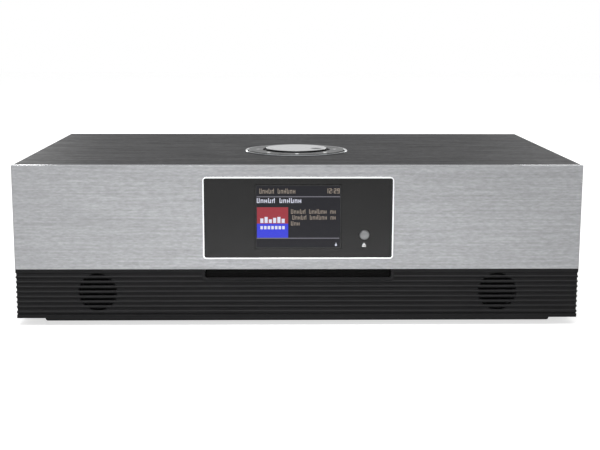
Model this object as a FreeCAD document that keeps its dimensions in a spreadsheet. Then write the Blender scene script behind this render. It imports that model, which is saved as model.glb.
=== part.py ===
import FreeCAD, Part
import Sketcher
import math
import os
import re

# A tabletop radio with a slot-in disc player: dark foiled cabinet, aluminium fascia,
# ribbed base and a control knob inside a ring of eight keys.
# Row frame: +X right, +Y back, +Z up, origin under the middle of the radio on the floor.

os.makedirs("parts", exist_ok=True)
doc = FreeCAD.newDocument("tabletop_radio")
vector = FreeCAD.Vector

# Driving sizes in millimetres

sizes = {
    # cabinet
    "cabinet_width": 420,
    "cabinet_depth": 244,
    "board": 12,                 # foiled fibreboard
    "cabinet_round": 1.5,        # rounding of the long top edges
    # fascia and window
    "fascia_height": 78.2,
    "fascia_plate": 2.5,
    "fascia_bevel": 0.4,
    "window_width": 141.2,       # outside of the bright trim
    "window_height": 61.4,
    "window_round": 2.6,
    "window_drop": 8.65,         # from the top of the fascia to the trim
    "trim_face": 1.0,
    "trim_proud": 0.7,
    "trim_lap": 0.5,             # how far the trim overlaps the fascia
    "trim_round": 0.42,
    "lens_plate": 2.0,
    "lens_well": 0.8,            # sunk field in front of the lit area
    "lens_bevel": 0.6,
    "glue_gap": 0.1,
    # display
    "screen_width": 63,
    "screen_height": 47,
    "screen_drop": 15.1,         # from the top of the fascia to the lit area
    "panel_border": 2.4,
    "panel_side": 4.8,           # border left and right of the lit area
    "panel_foot": 7.2,           # wider border under the lit area
    "panel_depth": 3.6,
    "carrier_plate": 2.0,
    "circuit_plate": 1.6,        # every circuit board
    "bracket_width": 156,
    # eject button
    "eject_across": 49.2,        # from the middle plane
    "eject_drop": 52.2,          # from the top of the fascia
    "eject_radius": 3.5,
    "eject_edge": 0.3,
    "eject_length": 3.2,
    "eject_proud": 0.9,
    "eject_flange": 4.6,
    "eject_flange_plate": 0.8,
    "eject_stem_radius": 1.5,
    "eject_stem": 0.8,
    "eject_travel": 0.6,
    "moving_gap": 0.3,           # between pieces that move past each other
    "running_gap": 0.05,         # radial gap of a shaft in its bore
    # ribbed base
    "rib_count": 9,
    "rib_pitch": 3.78,
    "groove_height": 1.75,
    "groove_depth": 0.6,
    "rib_bevel": 0.6,
    "skirt_wall": 3.4,
    "skirt_corner": 1.0,
    "lip_height": 2.8,
    "lip_groove": 0.9,
    "plinth_drop": 2.4,
    "plinth_inset": 21.4,        # from the cabinet's side to the plinth's end
    "plinth_round": 2.1,
    "tray_floor": 2.8,
    # disc mouth
    "mouth_width": 138.8,
    "mouth_height": 6.5,
    "mouth_round": 1.8,
    "mouth_frame": 1.9,          # flat border at the ends of the mouth
    "frame_round": 1.5,
    "lip_slit": 4.6,             # clear height between the felt lips
    "felt": 1.2,
    # grilles and small drivers
    "grille_radius": 14.3,
    "driver_inset": 60.7,        # from the cabinet's side to the driver's axis
    "driver_drop": 17.05,        # under the fascia
    "driver_radius": 16.4,
    "driver_flange": 1.5,
    "driver_depth": 9.5,
    "driver_neck": 9,
    "magnet_radius": 10.5,
    "magnet_length": 7,
    "coil_radius": 4.4,
    "coil_wall": 0.4,
    "pole_length": 5,
    "cone_radius": 12.2,
    "cone_depth": 5.2,
    "cone_paper": 0.5,
    "cone_sink": 0.9,            # from the mounting face to the cone's rim
    "roll_rise": 0.15,           # from the mounting face to the top of the roll
    "roll_edge": 0.75,
    # woofer that fires down
    "sub_inset": 70,             # from the cabinet's left side to the woofer's axis
    "sub_back": 18,
    "sub_radius": 43,
    "sub_flange": 2.2,
    "sub_depth": 22,
    "sub_neck": 22,
    "sub_magnet_radius": 28,
    "sub_magnet_length": 13,
    "sub_coil_radius": 12,
    "sub_coil_wall": 0.8,
    "sub_pole_length": 10,
    "sub_cone_radius": 32,
    "sub_cone_depth": 13,
    "sub_cone_paper": 0.9,
    "sub_cone_sink": 1.3,
    "sub_roll_rise": 0.2,
    "sub_roll_edge": 1.1,
    "basket_wall": 1.4,
    "vent_slot": 3,
    "vent_pitch": 6,
    "woofer_vent_count": 9,
    "rear_vent_count": 12,
    "rear_vent_reach": 12,       # half the height of the rear vents
    # control in the top
    "ring_behind_front": 98.8,
    "pod_hole": 40.4,
    "ring_radius": 41.6,
    "ring_face": 1.4,
    "ring_proud": 0.8,
    "ring_inner_edge": 0.25,
    "ring_outer_edge": 0.4,
    "ring_skirt": 3.2,
    "pod_wall": 1.4,
    "pod_flange_radius": 47,
    "pod_flange": 2.5,
    "pod_web": 1.5,
    "pod_web_up": 1.8,           # web above the ends of the key stems
    "pod_screw_count": 3,
    "key_outer": 38.7,
    "key_inner": 27.4,
    "key_count": 8,
    "key_gap_angle": 1.4,        # degrees between two keys
    "key_plate": 2.6,
    "key_proud": 1.2,
    "key_round": 0.35,
    "key_stem_radius": 2,
    "key_stem_at": 32.6,         # radius of the circle of stems
    "key_travel": 0.6,
    "knob_radius": 24.6,
    "knob_proud": 2.5,
    "knob_top_plate": 2.1,
    "knob_edge": 0.5,            # height of the metal cap at its rim
    "knob_lap": 1.6,             # how far the rim covers the plastic core
    "core_step": 0.3,            # the core's side stands back from the rim
    "knob_round": 0.3,
    "dimple_across": 16,
    "dimple_forward": 6,
    "dimple_radius": 5.2,
    "dimple_depth": 1.2,
    "knob_press": 0.5,
    "core_hub": 5.5,
    "core_plate": 2.0,
    "shaft_radius": 3,
    "encoder_side": 13,
    "encoder_height": 5.6,
    "encoder_floor": 1.0,
    "encoder_bush": 4.5,
    "encoder_neck": 3.5,         # length of the bush above the body
    "slider_radius": 4.5,
    "slider_plate": 0.8,
    "control_board_radius": 43,
    "switch_side": 6,
    "switch_height": 3.4,
    "plunger_radius": 1.6,
    "plunger_height": 0.8,
    # disc drive
    "drive_width": 150,
    "drive_length": 168,
    "drive_setback": 6.5,        # behind the front
    "drive_floor_up": 12,        # above the tray's floor
    "drive_height": 30,
    "drive_behind": 13,          # from the drive's back to the main board
    "sheet": 1.2,                # sheet steel
    "roller_radius": 4.5,
    "roller_pin": 1.5,
    "roller_length": 130,
    "roller_back": 19,           # behind the drive's front
    "spindle_back": 86,          # behind the drive's front
    "spindle_motor_radius": 12,
    "spindle_motor_height": 10.5,
    "spindle_pin": 1,
    "turntable_radius": 15,
    "turntable_plate": 2,
    "turntable_hub": 7.4,
    "turntable_hub_height": 1.8,
    "sled_width": 44,
    "sled_length": 24,
    "sled_height": 7,
    "sled_travel": 34,
    "rod_radius": 1.5,
    "rod_across": 17,
    "rod_spare": 7.5,            # rod left past the sled at its far end
    "rod_block": 4,
    # rear
    "recess": 9,                 # from the cabinet's back to the rear panel
    "rear_plate": 2.5,
    "batten": 14,
    "screw_margin": 10,          # from the end of a batten to its outer screws
    "screw_radius": 1.5,
    "screw_head_radius": 3,
    "screw_head": 1.9,
    "screw_length": 9,
    "socket_height": 26,         # axis above the floor
    "rca_radius": 4.15,
    "rca_bore": 1.6,
    "rca_length": 8,
    "rca_pitch": 16,
    "rca_across": -70,
    "jack_bore": 1.8,            # for a 3.5 mm plug
    "jack_radius": 3.9,
    "jack_length": 2.2,
    "jack_pitch": 17,
    "jack_across": -30,
    "antenna_across": 30,
    "antenna_radius": 4.7,
    "antenna_bore": 1.0,
    "antenna_length": 8.2,
    "socket_neck": 0.6,          # how much wider a socket is inside the panel
    "socket_body": 12,
    "socket_body_length": 13,
    "socket_end_wall": 1,
    "inlet_width": 26,
    "inlet_height": 17,
    "inlet_round": 5,
    "inlet_hole_width": 16.4,
    "inlet_hole_height": 8.6,
    "inlet_depth": 14,
    "inlet_pin_radius": 1.2,
    "inlet_pin_pitch": 8.6,
    "inlet_flange": 1.6,
    # inside
    "main_board_width": 146,
    "main_board_across": -22,
    "board_gap": 1,              # from the main board to the rear panel
    "supply_beside": 19,         # from the drive to the supply board
    "supply_wall": 12,           # from the supply board to the side board
    "supply_length": 104,
    "supply_back": 18,
    "supply_up": 16,
    "post_radius": 3.2,
    "chip_side": 14,
    "chip_plate": 1.4,
    "plug_width": 18,
    "shield_height": 4,
    "heat_sink_width": 20,
    "heat_sink_height": 18,
    "small_can_height": 11,
    "transformer_width": 36,
    "transformer_length": 32,
    "transformer_height": 28,
    "main_can": 18,              # diameter
    "main_can_height": 30,
    "side_can": 10,
    "side_can_height": 20,
    "supply_sink_plate": 5,
    "supply_sink_length": 42,
    "supply_sink_height": 24,
    # feet
    "foot_height": 3.6,
    "foot_radius": 8,
    "foot_inset": 38,            # from the cabinet's side
    "foot_front": 34,
    "foot_back": 24,
}

# Places that follow from the sizes

places = {
    "front_y": "(trim_proud - cabinet_depth) / 2",
    "back_y": "front_y + cabinet_depth",
    "middle_y": "front_y + cabinet_depth / 2",
    "half_width": "cabinet_width / 2",
    "tray_z": "foot_height + plinth_drop",
    "skirt_z": "tray_z + lip_height",
    "fascia_z": "skirt_z + rib_count * rib_pitch",
    "top_z": "fascia_z + fascia_height",
    "board_under": "top_z - board",
    "inside_x": "half_width - board",
    "fascia_back": "front_y + fascia_plate",
    "carrier_back": "fascia_back + carrier_plate",
    "panel_back": "carrier_back + panel_depth",
    "window_z": "top_z - window_drop - window_height / 2",
    "trim_inner_width": "window_width - 2 * trim_face",
    "trim_inner_height": "window_height - 2 * trim_face",
    "screen_z": "top_z - screen_drop - screen_height / 2",
    "panel_width": "screen_width + 2 * panel_side",
    "panel_height": "screen_height + panel_border + panel_foot",
    "panel_z": "screen_z + (panel_border - panel_foot) / 2",
    "eject_z": "top_z - eject_drop",
    "eject_face": "fascia_back - lens_plate - eject_proud",
    "eject_flange_y": "eject_face + eject_length",
    "eject_end": "eject_flange_y + eject_flange_plate + eject_stem",
    "floor_top": "foot_height + tray_floor",
    "mouth_z": "fascia_z - mouth_height / 2",
    "lens_front": "fascia_back - lens_plate",
    "driver_across": "half_width - driver_inset",
    "sub_across": "sub_inset - half_width",
    "foot_across": "half_width - foot_inset",
    "driver_z": "fascia_z - driver_drop",
    "driver_y": "front_y + skirt_wall",
    "ring_y": "front_y + ring_behind_front",
    "key_top": "top_z + key_proud",
    "key_under": "key_top - key_plate",
    "pod_rim": "key_under - key_travel - moving_gap",
    "pod_base": "board_under - pod_flange",
    "control_top": "pod_base",
    "switch_top": "control_top + switch_height",
    "plunger_top": "switch_top + plunger_height",
    "stem_end": "plunger_top + key_travel + moving_gap",
    "web_z": "stem_end + pod_web_up",
    "knob_top": "top_z + knob_proud",
    "knob_rim": "knob_top - knob_edge",
    "core_top": "knob_top - knob_top_plate",
    "core_under": "core_top - core_plate",
    "encoder_top": "control_top + encoder_height",
    "bush_top": "encoder_top + encoder_neck",
    "cavity_z": "control_top + encoder_floor",
    "slider_z": "cavity_z + knob_press + moving_gap",
    "drive_y": "front_y + drive_setback",
    "drive_z": "floor_top + drive_floor_up",
    "drive_top": "drive_z + drive_height",
    "bracket_bottom": "drive_top + sheet + moving_gap",
    "bracket_height": "board_under - bracket_bottom",
    "roller_y": "drive_y + roller_back",
    "roller_z": "mouth_z - 2 * moving_gap - roller_radius",
    "spindle_y": "drive_y + spindle_back",
    "motor_z": "drive_z + sheet",
    "motor_top": "motor_z + spindle_motor_height",
    "turntable_z": "motor_top + moving_gap",
    "rod_z": "motor_z + sled_height",
    "rod_length": "rod_block + moving_gap + sled_length + sled_travel + rod_spare",
    "rod_y": "drive_y + drive_length - sheet - rod_length",
    "sled_y": "rod_y + rod_block + moving_gap",
    "rear_y": "back_y - recess",
    "rear_inside": "rear_y - rear_plate",
    "main_board_y": "drive_y + drive_length + drive_behind",
    "main_board_length": "rear_inside - board_gap - main_board_y",
    "main_board_free": "main_board_length + board_gap - socket_body_length",
    "main_board_z": "socket_height - socket_body / 2 - circuit_plate",
    "supply_width": "inside_x - supply_wall - supply_beside - drive_width / 2",
    "supply_across": "drive_width / 2 + supply_beside + supply_width / 2",
    "supply_z": "floor_top + supply_up - circuit_plate",
    "inlet_across": "supply_across",
}

sheet = doc.addObject("Spreadsheet::Sheet", "Sizes")
for row, (name, size) in enumerate(sizes.items(), 1):
    sheet.set(f"A{row}", name)
    sheet.set(f"B{row}", str(size))
    sheet.setAlias(f"B{row}", name)

aliasWord = re.compile(r"[a-z][a-z_0-9]*")


def formula(text, inPlaces=False):
    """The text with each size and place written as its cell."""
    def cell(found):
        name = found.group(0)
        if name in sizes:
            return "Sizes." + name
        if name in places and not inPlaces:
            return "Places." + name
        return name
    return aliasWord.sub(cell, str(text))


placeSheet = doc.addObject("Spreadsheet::Sheet", "Places")
for row, (name, rule) in enumerate(places.items(), 1):
    placeSheet.set(f"A{row}", name)
    placeSheet.set(f"B{row}", "=" + formula(rule, True))
    placeSheet.setAlias(f"B{row}", name)
doc.recompute()

gauge = doc.addObject("App::FeaturePython", "Gauge")
gauge.addProperty("App::PropertyFloat", "Reading")


def number(text):
    """The value of a formula at the present sizes."""
    gauge.setExpression("Reading", formula(text))
    gauge.recompute()
    return gauge.Reading


nodes = []


def node(piece, label):
    """Names a finished piece and lists it for its file."""
    piece.Label = label
    nodes.append(piece)
    return piece


def place(piece, x, y, z):
    for letter, rule in zip("xyz", (x, y, z)):
        piece.setExpression("Placement.Base." + letter, formula(rule))
    return piece


# Primitives and their unions and cuts

turns = {
    "Z": FreeCAD.Rotation(),
    "Y": FreeCAD.Rotation(vector(1, 0, 0), -90),
    "X": FreeCAD.Rotation(vector(0, 1, 0), 90),
}


def box(name, low, extent):
    """A box from its low corner, all in formulas."""
    piece = doc.addObject("Part::Box", name)
    for side, rule in zip(("Length", "Width", "Height"), extent):
        piece.setExpression(side, formula(rule))
    return place(piece, *low)


def middleBox(name, centre, extent):
    """A box centred in x on the first value and standing on the other two."""
    x, y, z = centre
    return box(name, (f"({x}) - ({extent[0]}) / 2", y, z), extent)


def rod(name, start, radius, length, along="Z"):
    piece = doc.addObject("Part::Cylinder", name)
    piece.setExpression("Radius", formula(radius))
    piece.setExpression("Height", formula(length))
    piece.Placement.Rotation = turns[along]
    return place(piece, *start)


def joined(name, pieces):
    union = doc.addObject("Part::MultiFuse", name)
    union.Shapes = pieces
    return union


def cut(name, base, tools):
    if len(tools) > 1:
        tool = joined(name + "_tools", tools)
    else:
        tool = tools[0]
    piece = doc.addObject("Part::Cut", name)
    piece.Base = base
    piece.Tool = tool
    return piece


def group(name, pieces):
    """Separate solids that share one node."""
    piece = doc.addObject("Part::Compound", name)
    piece.Links = pieces
    return piece


# Sketches and the features made from them

def newBody(name):
    return doc.addObject("PartDesign::Body", name)


def sketchOn(body, name, role, x=0, y=0, z=0):
    """A sketch on an origin plane, moved so that its own origin is at x, y, z."""
    sketch = body.newObject("Sketcher::SketchObject", name)
    plane = next(part for part in body.Origin.OriginFeatures if part.Role == role)
    sketch.AttachmentSupport = [(plane, "")]
    sketch.MapMode = "FlatFace"
    shifts = {"XY_Plane": (x, y, z), "XZ_Plane": (x, z, f"-({y})"), "YZ_Plane": (y, z, x)}
    for letter, rule in zip("xyz", shifts[role]):
        sketch.setExpression("AttachmentOffset.Base." + letter, formula(rule))
    return sketch


def dimension(sketch, rule, *terms):
    index = sketch.addConstraint(Sketcher.Constraint(*terms, number(rule)))
    sketch.setExpression(f"Constraints[{index}]", formula(rule))


def tie(sketch, *terms):
    sketch.addConstraint(Sketcher.Constraint(*terms))


def circle(sketch, radius, x=0, y=0):
    centre = vector(number(x), number(y), 0)
    index = sketch.addGeometry(Part.Circle(centre, vector(0, 0, 1), number(radius)), False)
    dimension(sketch, radius, "Radius", index)
    for kind, rule, axis in (("DistanceX", x, -2), ("DistanceY", y, -1)):
        if str(rule) == "0":
            tie(sketch, "PointOnObject", index, 3, axis)
        else:
            dimension(sketch, rule, kind, -1, 1, index, 3)


def outline(sketch, points):
    """A closed outline of straight lines; a zero lies on the sketch's axis."""
    first = sketch.GeometryCount
    count = len(points)
    corners = [vector(number(x), number(y), 0) for x, y in points]
    for i in range(count):
        sketch.addGeometry(Part.LineSegment(corners[i], corners[(i + 1) % count]), False)
    for i in range(count):
        follower = first + (i + 1) % count
        tie(sketch, "Coincident", first + i, 2, follower, 1)
    for i, (x, y) in enumerate(points):
        for kind, rule, axis in (("DistanceX", x, -2), ("DistanceY", y, -1)):
            if str(rule) == "0":
                tie(sketch, "PointOnObject", first + i, 1, axis)
            else:
                dimension(sketch, rule, kind, -1, 1, first + i, 1)


def rectangle(sketch, width, height):
    x, y = f"({width}) / 2", f"({height}) / 2"
    outline(sketch, [(f"-{x}", f"-{y}"), (x, f"-{y}"), (x, y), (f"-{x}", y)])


def roundedRectangle(sketch, width, height, radius):
    halfWide, halfHigh, arc = number(f"({width}) / 2"), number(f"({height}) / 2"), number(radius)
    flatWide, flatHigh = halfWide - arc, halfHigh - arc
    first = sketch.GeometryCount
    ends = (
        ((-flatWide, -halfHigh), (flatWide, -halfHigh)),
        ((halfWide, -flatHigh), (halfWide, flatHigh)),
        ((flatWide, halfHigh), (-flatWide, halfHigh)),
        ((-halfWide, flatHigh), (-halfWide, -flatHigh)),
    )
    for start, end in ends:
        sketch.addGeometry(Part.LineSegment(vector(*start, 0), vector(*end, 0)), False)
    middles = ((flatWide, -flatHigh), (flatWide, flatHigh), (-flatWide, flatHigh), (-flatWide, -flatHigh))
    for corner, middle in enumerate(middles):
        start = math.radians(90 * corner - 90)
        bend = Part.Circle(vector(*middle, 0), vector(0, 0, 1), arc)
        sketch.addGeometry(Part.ArcOfCircle(bend, start, start + math.pi / 2), False)
    for side in range(4):
        tie(sketch, "Tangent", first + side, 2, first + 4 + side, 1)
        tie(sketch, "Tangent", first + 4 + side, 2, first + (side + 1) % 4, 1)
        tie(sketch, "Vertical" if side % 2 else "Horizontal", first + side)
    for corner in range(5, 8):
        tie(sketch, "Equal", first + 4, first + corner)
    dimension(sketch, radius, "Radius", first + 4)
    dimension(sketch, f"({width}) / 2", "DistanceX", -1, 1, first + 1, 1)
    dimension(sketch, f"({width}) / 2", "DistanceX", first + 3, 1, -1, 1)
    dimension(sketch, f"({height}) / 2", "DistanceY", -1, 1, first + 2, 1)
    dimension(sketch, f"({height}) / 2", "DistanceY", first, 1, -1, 1)


def pad(body, sketch, length, backwards=False):
    feature = body.newObject("PartDesign::Pad", sketch.Name + "_pad")
    feature.Profile = sketch
    feature.setExpression("Length", formula(length))
    feature.Reversed = backwards
    body.Tip = feature
    return feature


def pocket(body, sketch, depth=None, backwards=False):
    """Cuts against the sketch's normal; without a depth it goes right through."""
    feature = body.newObject("PartDesign::Pocket", sketch.Name + "_pocket")
    feature.Profile = sketch
    if depth is None:
        feature.Type = "ThroughAll"
    else:
        feature.setExpression("Length", formula(depth))
    feature.Reversed = backwards
    body.Tip = feature
    return feature


def revolve(body, sketch):
    feature = body.newObject("PartDesign::Revolution", sketch.Name + "_turn")
    feature.Profile = sketch
    feature.ReferenceAxis = (sketch, ["V_Axis"])
    feature.Angle = 360
    body.Tip = feature
    return feature


def dress(body, kind, size, wanted):
    """A Fillet or a Chamfer on the tip's edges that the test accepts."""
    doc.recompute()
    base = body.Tip
    names = [f"Edge{i}" for i, edge in enumerate(base.Shape.Edges, 1) if wanted(edge)]
    feature = body.newObject("PartDesign::" + kind, f"{body.Name}_{kind.lower()}")
    feature.Base = (base, names)
    feature.setExpression("Radius" if kind == "Fillet" else "Size", formula(size))
    body.Tip = feature
    return feature


def near(a, b):
    return abs(a - b) < 1e-4


def lies(edge, **at):
    """True for an edge whose box keeps to each given coordinate."""
    bounds = edge.BoundBox
    for letter, value in at.items():
        low = getattr(bounds, letter.upper() + "Min")
        high = getattr(bounds, letter.upper() + "Max")
        if not (near(low, value) and near(high, value)):
            return False
    return True


def turned(name, label, at, points, along="Z"):
    """A turned piece: an outline of radius and height, turned about Z or Y."""
    body = newBody(name)
    role = "XZ_Plane" if along == "Z" else "XY_Plane"
    sketch = sketchOn(body, name + "_section", role, *at)
    outline(sketch, points)
    revolve(body, sketch)
    return node(body, label)


# Cabinet boards

boardDepth = "cabinet_depth - fascia_plate"
topBoard = newBody("top_board")
sketch = sketchOn(topBoard, "top_board_plan", "XY_Plane",
                  0, f"fascia_back + ({boardDepth}) / 2", "board_under")
rectangle(sketch, "cabinet_width", boardDepth)
pad(topBoard, sketch, "board")
halfWidth, topZ = number("half_width"), number("top_z")
dress(topBoard, "Fillet", "cabinet_round",
      lambda edge: lies(edge, z=topZ) and (lies(edge, x=halfWidth) or lies(edge, x=-halfWidth)))
sketch = sketchOn(topBoard, "pod_opening", "XY_Plane", 0, "ring_y", "top_z")
circle(sketch, "pod_hole")
pocket(topBoard, sketch)
screwCircle = "(pod_hole + pod_flange_radius) / 2 + pod_wall / 2"
podScrews = [(f"({screwCircle}) * sin(({i} + 1 / 2) * 360 / pod_screw_count)",
              f"-({screwCircle}) * cos(({i} + 1 / 2) * 360 / pod_screw_count)")
             for i in range(sizes["pod_screw_count"])]
sketch = sketchOn(topBoard, "pod_screw_holes", "XY_Plane", 0, "ring_y", "board_under")
for x, y in podScrews:
    circle(sketch, "screw_radius", x, y)
pocket(topBoard, sketch, "screw_length - pod_flange", True)
node(topBoard, "cabinet_top_board")

for side, low in (("left", "-half_width"), ("right", "inside_x")):
    sideBoard = box(side + "_board", (low, "fascia_back", "fascia_z"),
                    ("board", boardDepth, "board_under - fascia_z"))
    node(sideBoard, f"cabinet_{side}_board")

# Fascia with its window and bevelled edges

cutoutWidth = "window_width - 2 * trim_lap"
cutoutHeight = "window_height - 2 * trim_lap"
cutoutRound = "window_round - trim_lap"
fascia = newBody("fascia")
sketch = sketchOn(fascia, "fascia_outline", "XZ_Plane", 0, "front_y", "fascia_z + fascia_height / 2")
rectangle(sketch, "cabinet_width", "fascia_height")
pad(fascia, sketch, "fascia_plate", True)
frontY = number("front_y")
dress(fascia, "Chamfer", "fascia_bevel", lambda edge: lies(edge, y=frontY))
sketch = sketchOn(fascia, "window_cutout", "XZ_Plane", 0, "front_y", "window_z")
roundedRectangle(sketch, cutoutWidth, cutoutHeight, cutoutRound)
pocket(fascia, sketch)
node(fascia, "front_fascia")

# Bright trim round the window: a lip in front and a sleeve through the fascia

trim = newBody("trim")
sketch = sketchOn(trim, "trim_lip", "XZ_Plane", 0, "front_y", "window_z")
roundedRectangle(sketch, "window_width", "window_height", "window_round")
pad(trim, sketch, "trim_proud")
lipFront = number("front_y - trim_proud")
dress(trim, "Fillet", "trim_round", lambda edge: lies(edge, y=lipFront))
sketch = sketchOn(trim, "trim_sleeve", "XZ_Plane", 0, "front_y", "window_z")
roundedRectangle(sketch, f"{cutoutWidth} - glue_gap", f"{cutoutHeight} - glue_gap", cutoutRound)
pad(trim, sketch, "fascia_plate", True)
sketch = sketchOn(trim, "trim_opening", "XZ_Plane", 0, "front_y - trim_proud", "window_z")
roundedRectangle(sketch, "trim_inner_width", "trim_inner_height", "window_round - trim_face")
pocket(trim, sketch)
node(trim, "window_trim")

# Lens in the trim, with a sunk field before the display and the hole for the eject button

lens = newBody("lens")
sketch = sketchOn(lens, "lens_outline", "XZ_Plane", 0, "lens_front", "window_z")
roundedRectangle(sketch, "trim_inner_width - glue_gap", "trim_inner_height - glue_gap",
                 "window_round - trim_face - glue_gap / 2")
pad(lens, sketch, "lens_plate", True)
sketch = sketchOn(lens, "lens_button_hole", "XZ_Plane", "eject_across", "front_y", "eject_z")
circle(sketch, "eject_radius + moving_gap")
pocket(lens, sketch)
wellWidth, wellHeight = "screen_width + 2 * moving_gap", "screen_height + 2 * moving_gap"
sketch = sketchOn(lens, "lens_field", "XZ_Plane", 0, "lens_front + lens_well", "screen_z")
rectangle(sketch, wellWidth, wellHeight)
pocket(lens, sketch, "lens_well", True)
lensFront, wellSide = number("lens_front"), number(f"({wellWidth}) / 2")
wellTop, wellFoot = number(f"screen_z + ({wellHeight}) / 2"), number(f"screen_z - ({wellHeight}) / 2")
wellEdges = ({"x": wellSide}, {"x": -wellSide}, {"z": wellTop}, {"z": wellFoot})
dress(lens, "Chamfer", "lens_bevel", lambda edge: any(lies(edge, y=lensFront, **at) for at in wellEdges))
node(lens, "display_lens")

# Carrier behind the fascia and the bracket that holds the display

carrier = newBody("carrier")
sketch = sketchOn(carrier, "carrier_outline", "XZ_Plane", 0, "fascia_back", "(fascia_z + board_under) / 2")
rectangle(sketch, "2 * inside_x", "board_under - fascia_z")
pad(carrier, sketch, "carrier_plate", True)
sketch = sketchOn(carrier, "carrier_view", "XZ_Plane", 0, "front_y", "screen_z")
rectangle(sketch, wellWidth, wellHeight)
pocket(carrier, sketch)
sketch = sketchOn(carrier, "carrier_button_hole", "XZ_Plane", "eject_across", "front_y", "eject_z")
circle(sketch, "eject_flange + moving_gap")
pocket(carrier, sketch)
node(carrier, "front_carrier")

bracket = newBody("bracket")
sketch = sketchOn(bracket, "bracket_outline", "XZ_Plane", 0, "carrier_back",
                  "bracket_bottom + bracket_height / 2")
rectangle(sketch, "bracket_width", "bracket_height")
pad(bracket, sketch, "panel_depth", True)
sketch = sketchOn(bracket, "bracket_window", "XZ_Plane", 0, "front_y", "panel_z")
rectangle(sketch, "panel_width", "panel_height")
pocket(bracket, sketch)
sketch = sketchOn(bracket, "bracket_switch_well", "XZ_Plane", "eject_across", "front_y", "eject_z")
circle(sketch, "switch_side / 2 * sqrt(2) + moving_gap")
pocket(bracket, sketch)
node(bracket, "display_bracket")

panel = middleBox("panel", ("0", "carrier_back", "panel_z - panel_height / 2"),
                  ("panel_width", "panel_depth", "panel_height"))
node(panel, "tft_panel")

partAcross = "bracket_width / 4"
displayParts = [
    middleBox("display_circuit", ("0", "panel_back", "bracket_bottom"),
              ("bracket_width", "circuit_plate", "bracket_height")),
    middleBox("display_chip", (f"-({partAcross})", "panel_back + circuit_plate", "panel_z"),
              ("chip_side", "chip_plate", "chip_side")),
    middleBox("display_plug", (partAcross, "panel_back + circuit_plate", "panel_z"),
              ("plug_width", "switch_side", "switch_side")),
]
node(group("display_assembly", displayParts), "display_board")

# Eject button: cap, flange and stem, turned about its own axis

turned("eject", "eject_button", ("eject_across", 0, "eject_z"), [
    ("0", "eject_face"),
    ("eject_radius - eject_edge", "eject_face"),
    ("eject_radius", "eject_face + eject_edge"),
    ("eject_radius", "eject_flange_y"),
    ("eject_flange", "eject_flange_y"),
    ("eject_flange", "eject_flange_y + eject_flange_plate"),
    ("eject_stem_radius", "eject_flange_y + eject_flange_plate"),
    ("eject_stem_radius", "eject_end"),
    ("0", "eject_end"),
], "Y")

# Ribbed base wall: one section with its ribs runs along the front, round two corners
# and along both sides


def skirtSection(depthTo, across):
    """The wall's section; across turns a depth and a height into a point."""
    pitch, groove = number("rib_pitch"), number("groove_height")
    skirtZ, fasciaZ = number("skirt_z"), number("fascia_z")
    notch, edge = number("groove_depth"), number("rib_bevel")
    count = round(number("rib_count"))
    points = [(depthTo, skirtZ), (notch, skirtZ)]
    for i in range(count):
        low = skirtZ + i * pitch + groove / 2
        if i == 0:
            low = skirtZ + number("lip_groove") / 2
        high = skirtZ + (i + 1) * pitch - groove / 2
        if i == count - 1:
            high = fasciaZ
        points += [(notch, low), (0, low + edge), (0, high - edge), (notch, high)]
    points[-2:] = [(0, fasciaZ)]
    points.append((depthTo, fasciaZ))
    return Part.Face(Part.makePolygon([across(d, h) for d, h in points + points[:1]]))


def ribbedWall():
    wall, corner = number("skirt_wall"), number("skirt_corner")
    half, front, back = number("half_width"), number("front_y"), number("back_y")
    frontFace = skirtSection(wall, lambda depth, height: vector(corner - half, front + depth, height))
    pieces = [frontFace.extrude(vector(2 * (half - corner), 0, 0))]
    for side in (-1, 1):
        sideFace = skirtSection(
            wall, lambda depth, height: vector(side * (half - depth), front + corner, height))
        pieces.append(sideFace.extrude(vector(0, back - front - corner, 0)))
        axis = vector(side * (half - corner), front + corner, 0)
        bendFace = skirtSection(
            corner, lambda depth, height: vector(axis.x, front + depth, height))
        pieces.append(bendFace.revolve(axis, vector(0, 0, 1), 90 * side))
    return pieces[0].fuse(pieces[1:]).removeSplitter()


skirtWall = doc.addObject("Part::Feature", "skirt_wall_ribs")
skirtWall.Shape = ribbedWall()

frameFoot = "fascia_z - 2 * rib_pitch - groove_height / 2"
frameReach = number("mouth_width / 2 + mouth_frame")
frameFootZ = number(frameFoot)
mouthFrame = newBody("mouth_border")
sketch = sketchOn(mouthFrame, "mouth_border_outline", "XZ_Plane", 0, "front_y",
                  f"({frameFoot} + fascia_z) / 2")
rectangle(sketch, "mouth_width + 2 * mouth_frame", f"fascia_z - ({frameFoot})")
pad(mouthFrame, sketch, "skirt_wall", True)
dress(mouthFrame, "Fillet", "frame_round",
      lambda edge: lies(edge, x=frameReach, z=frameFootZ) or lies(edge, x=-frameReach, z=frameFootZ))

skirtCuts = []
mouth = newBody("mouth")
sketch = sketchOn(mouth, "mouth_outline", "XZ_Plane", 0, "front_y", "mouth_z + mouth_round")
roundedRectangle(sketch, "mouth_width", "mouth_height + 2 * mouth_round", "mouth_round")
pad(mouth, sketch, "skirt_wall", True)
skirtCuts.append(mouth)
grooves = round(number("rib_count")) - 1
for side in (-1, 1):
    slots = []
    for i in range(1, grooves + 1):
        slotZ = f"fascia_z - {i} * rib_pitch - groove_height / 2"
        slots.append(middleBox(f"slot_{i}", (f"{side} * driver_across", "front_y", slotZ),
                               ("2 * grille_radius", "skirt_wall", "groove_height")))
    roundOpening = rod("grille_round", (f"{side} * driver_across", "front_y", "driver_z"),
                       "grille_radius", "skirt_wall", "Y")
    grille = doc.addObject("Part::Common", "grille_slots")
    grille.Base = joined("slot_rows", slots)
    grille.Tool = roundOpening
    skirtCuts.append(grille)
node(cut("skirt", joined("skirt_wall", [skirtWall, mouthFrame]), skirtCuts), "ribbed_skirt")

# Bottom tray: lip, lower plinth, a hollow floor and posts for what stands on it

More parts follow.
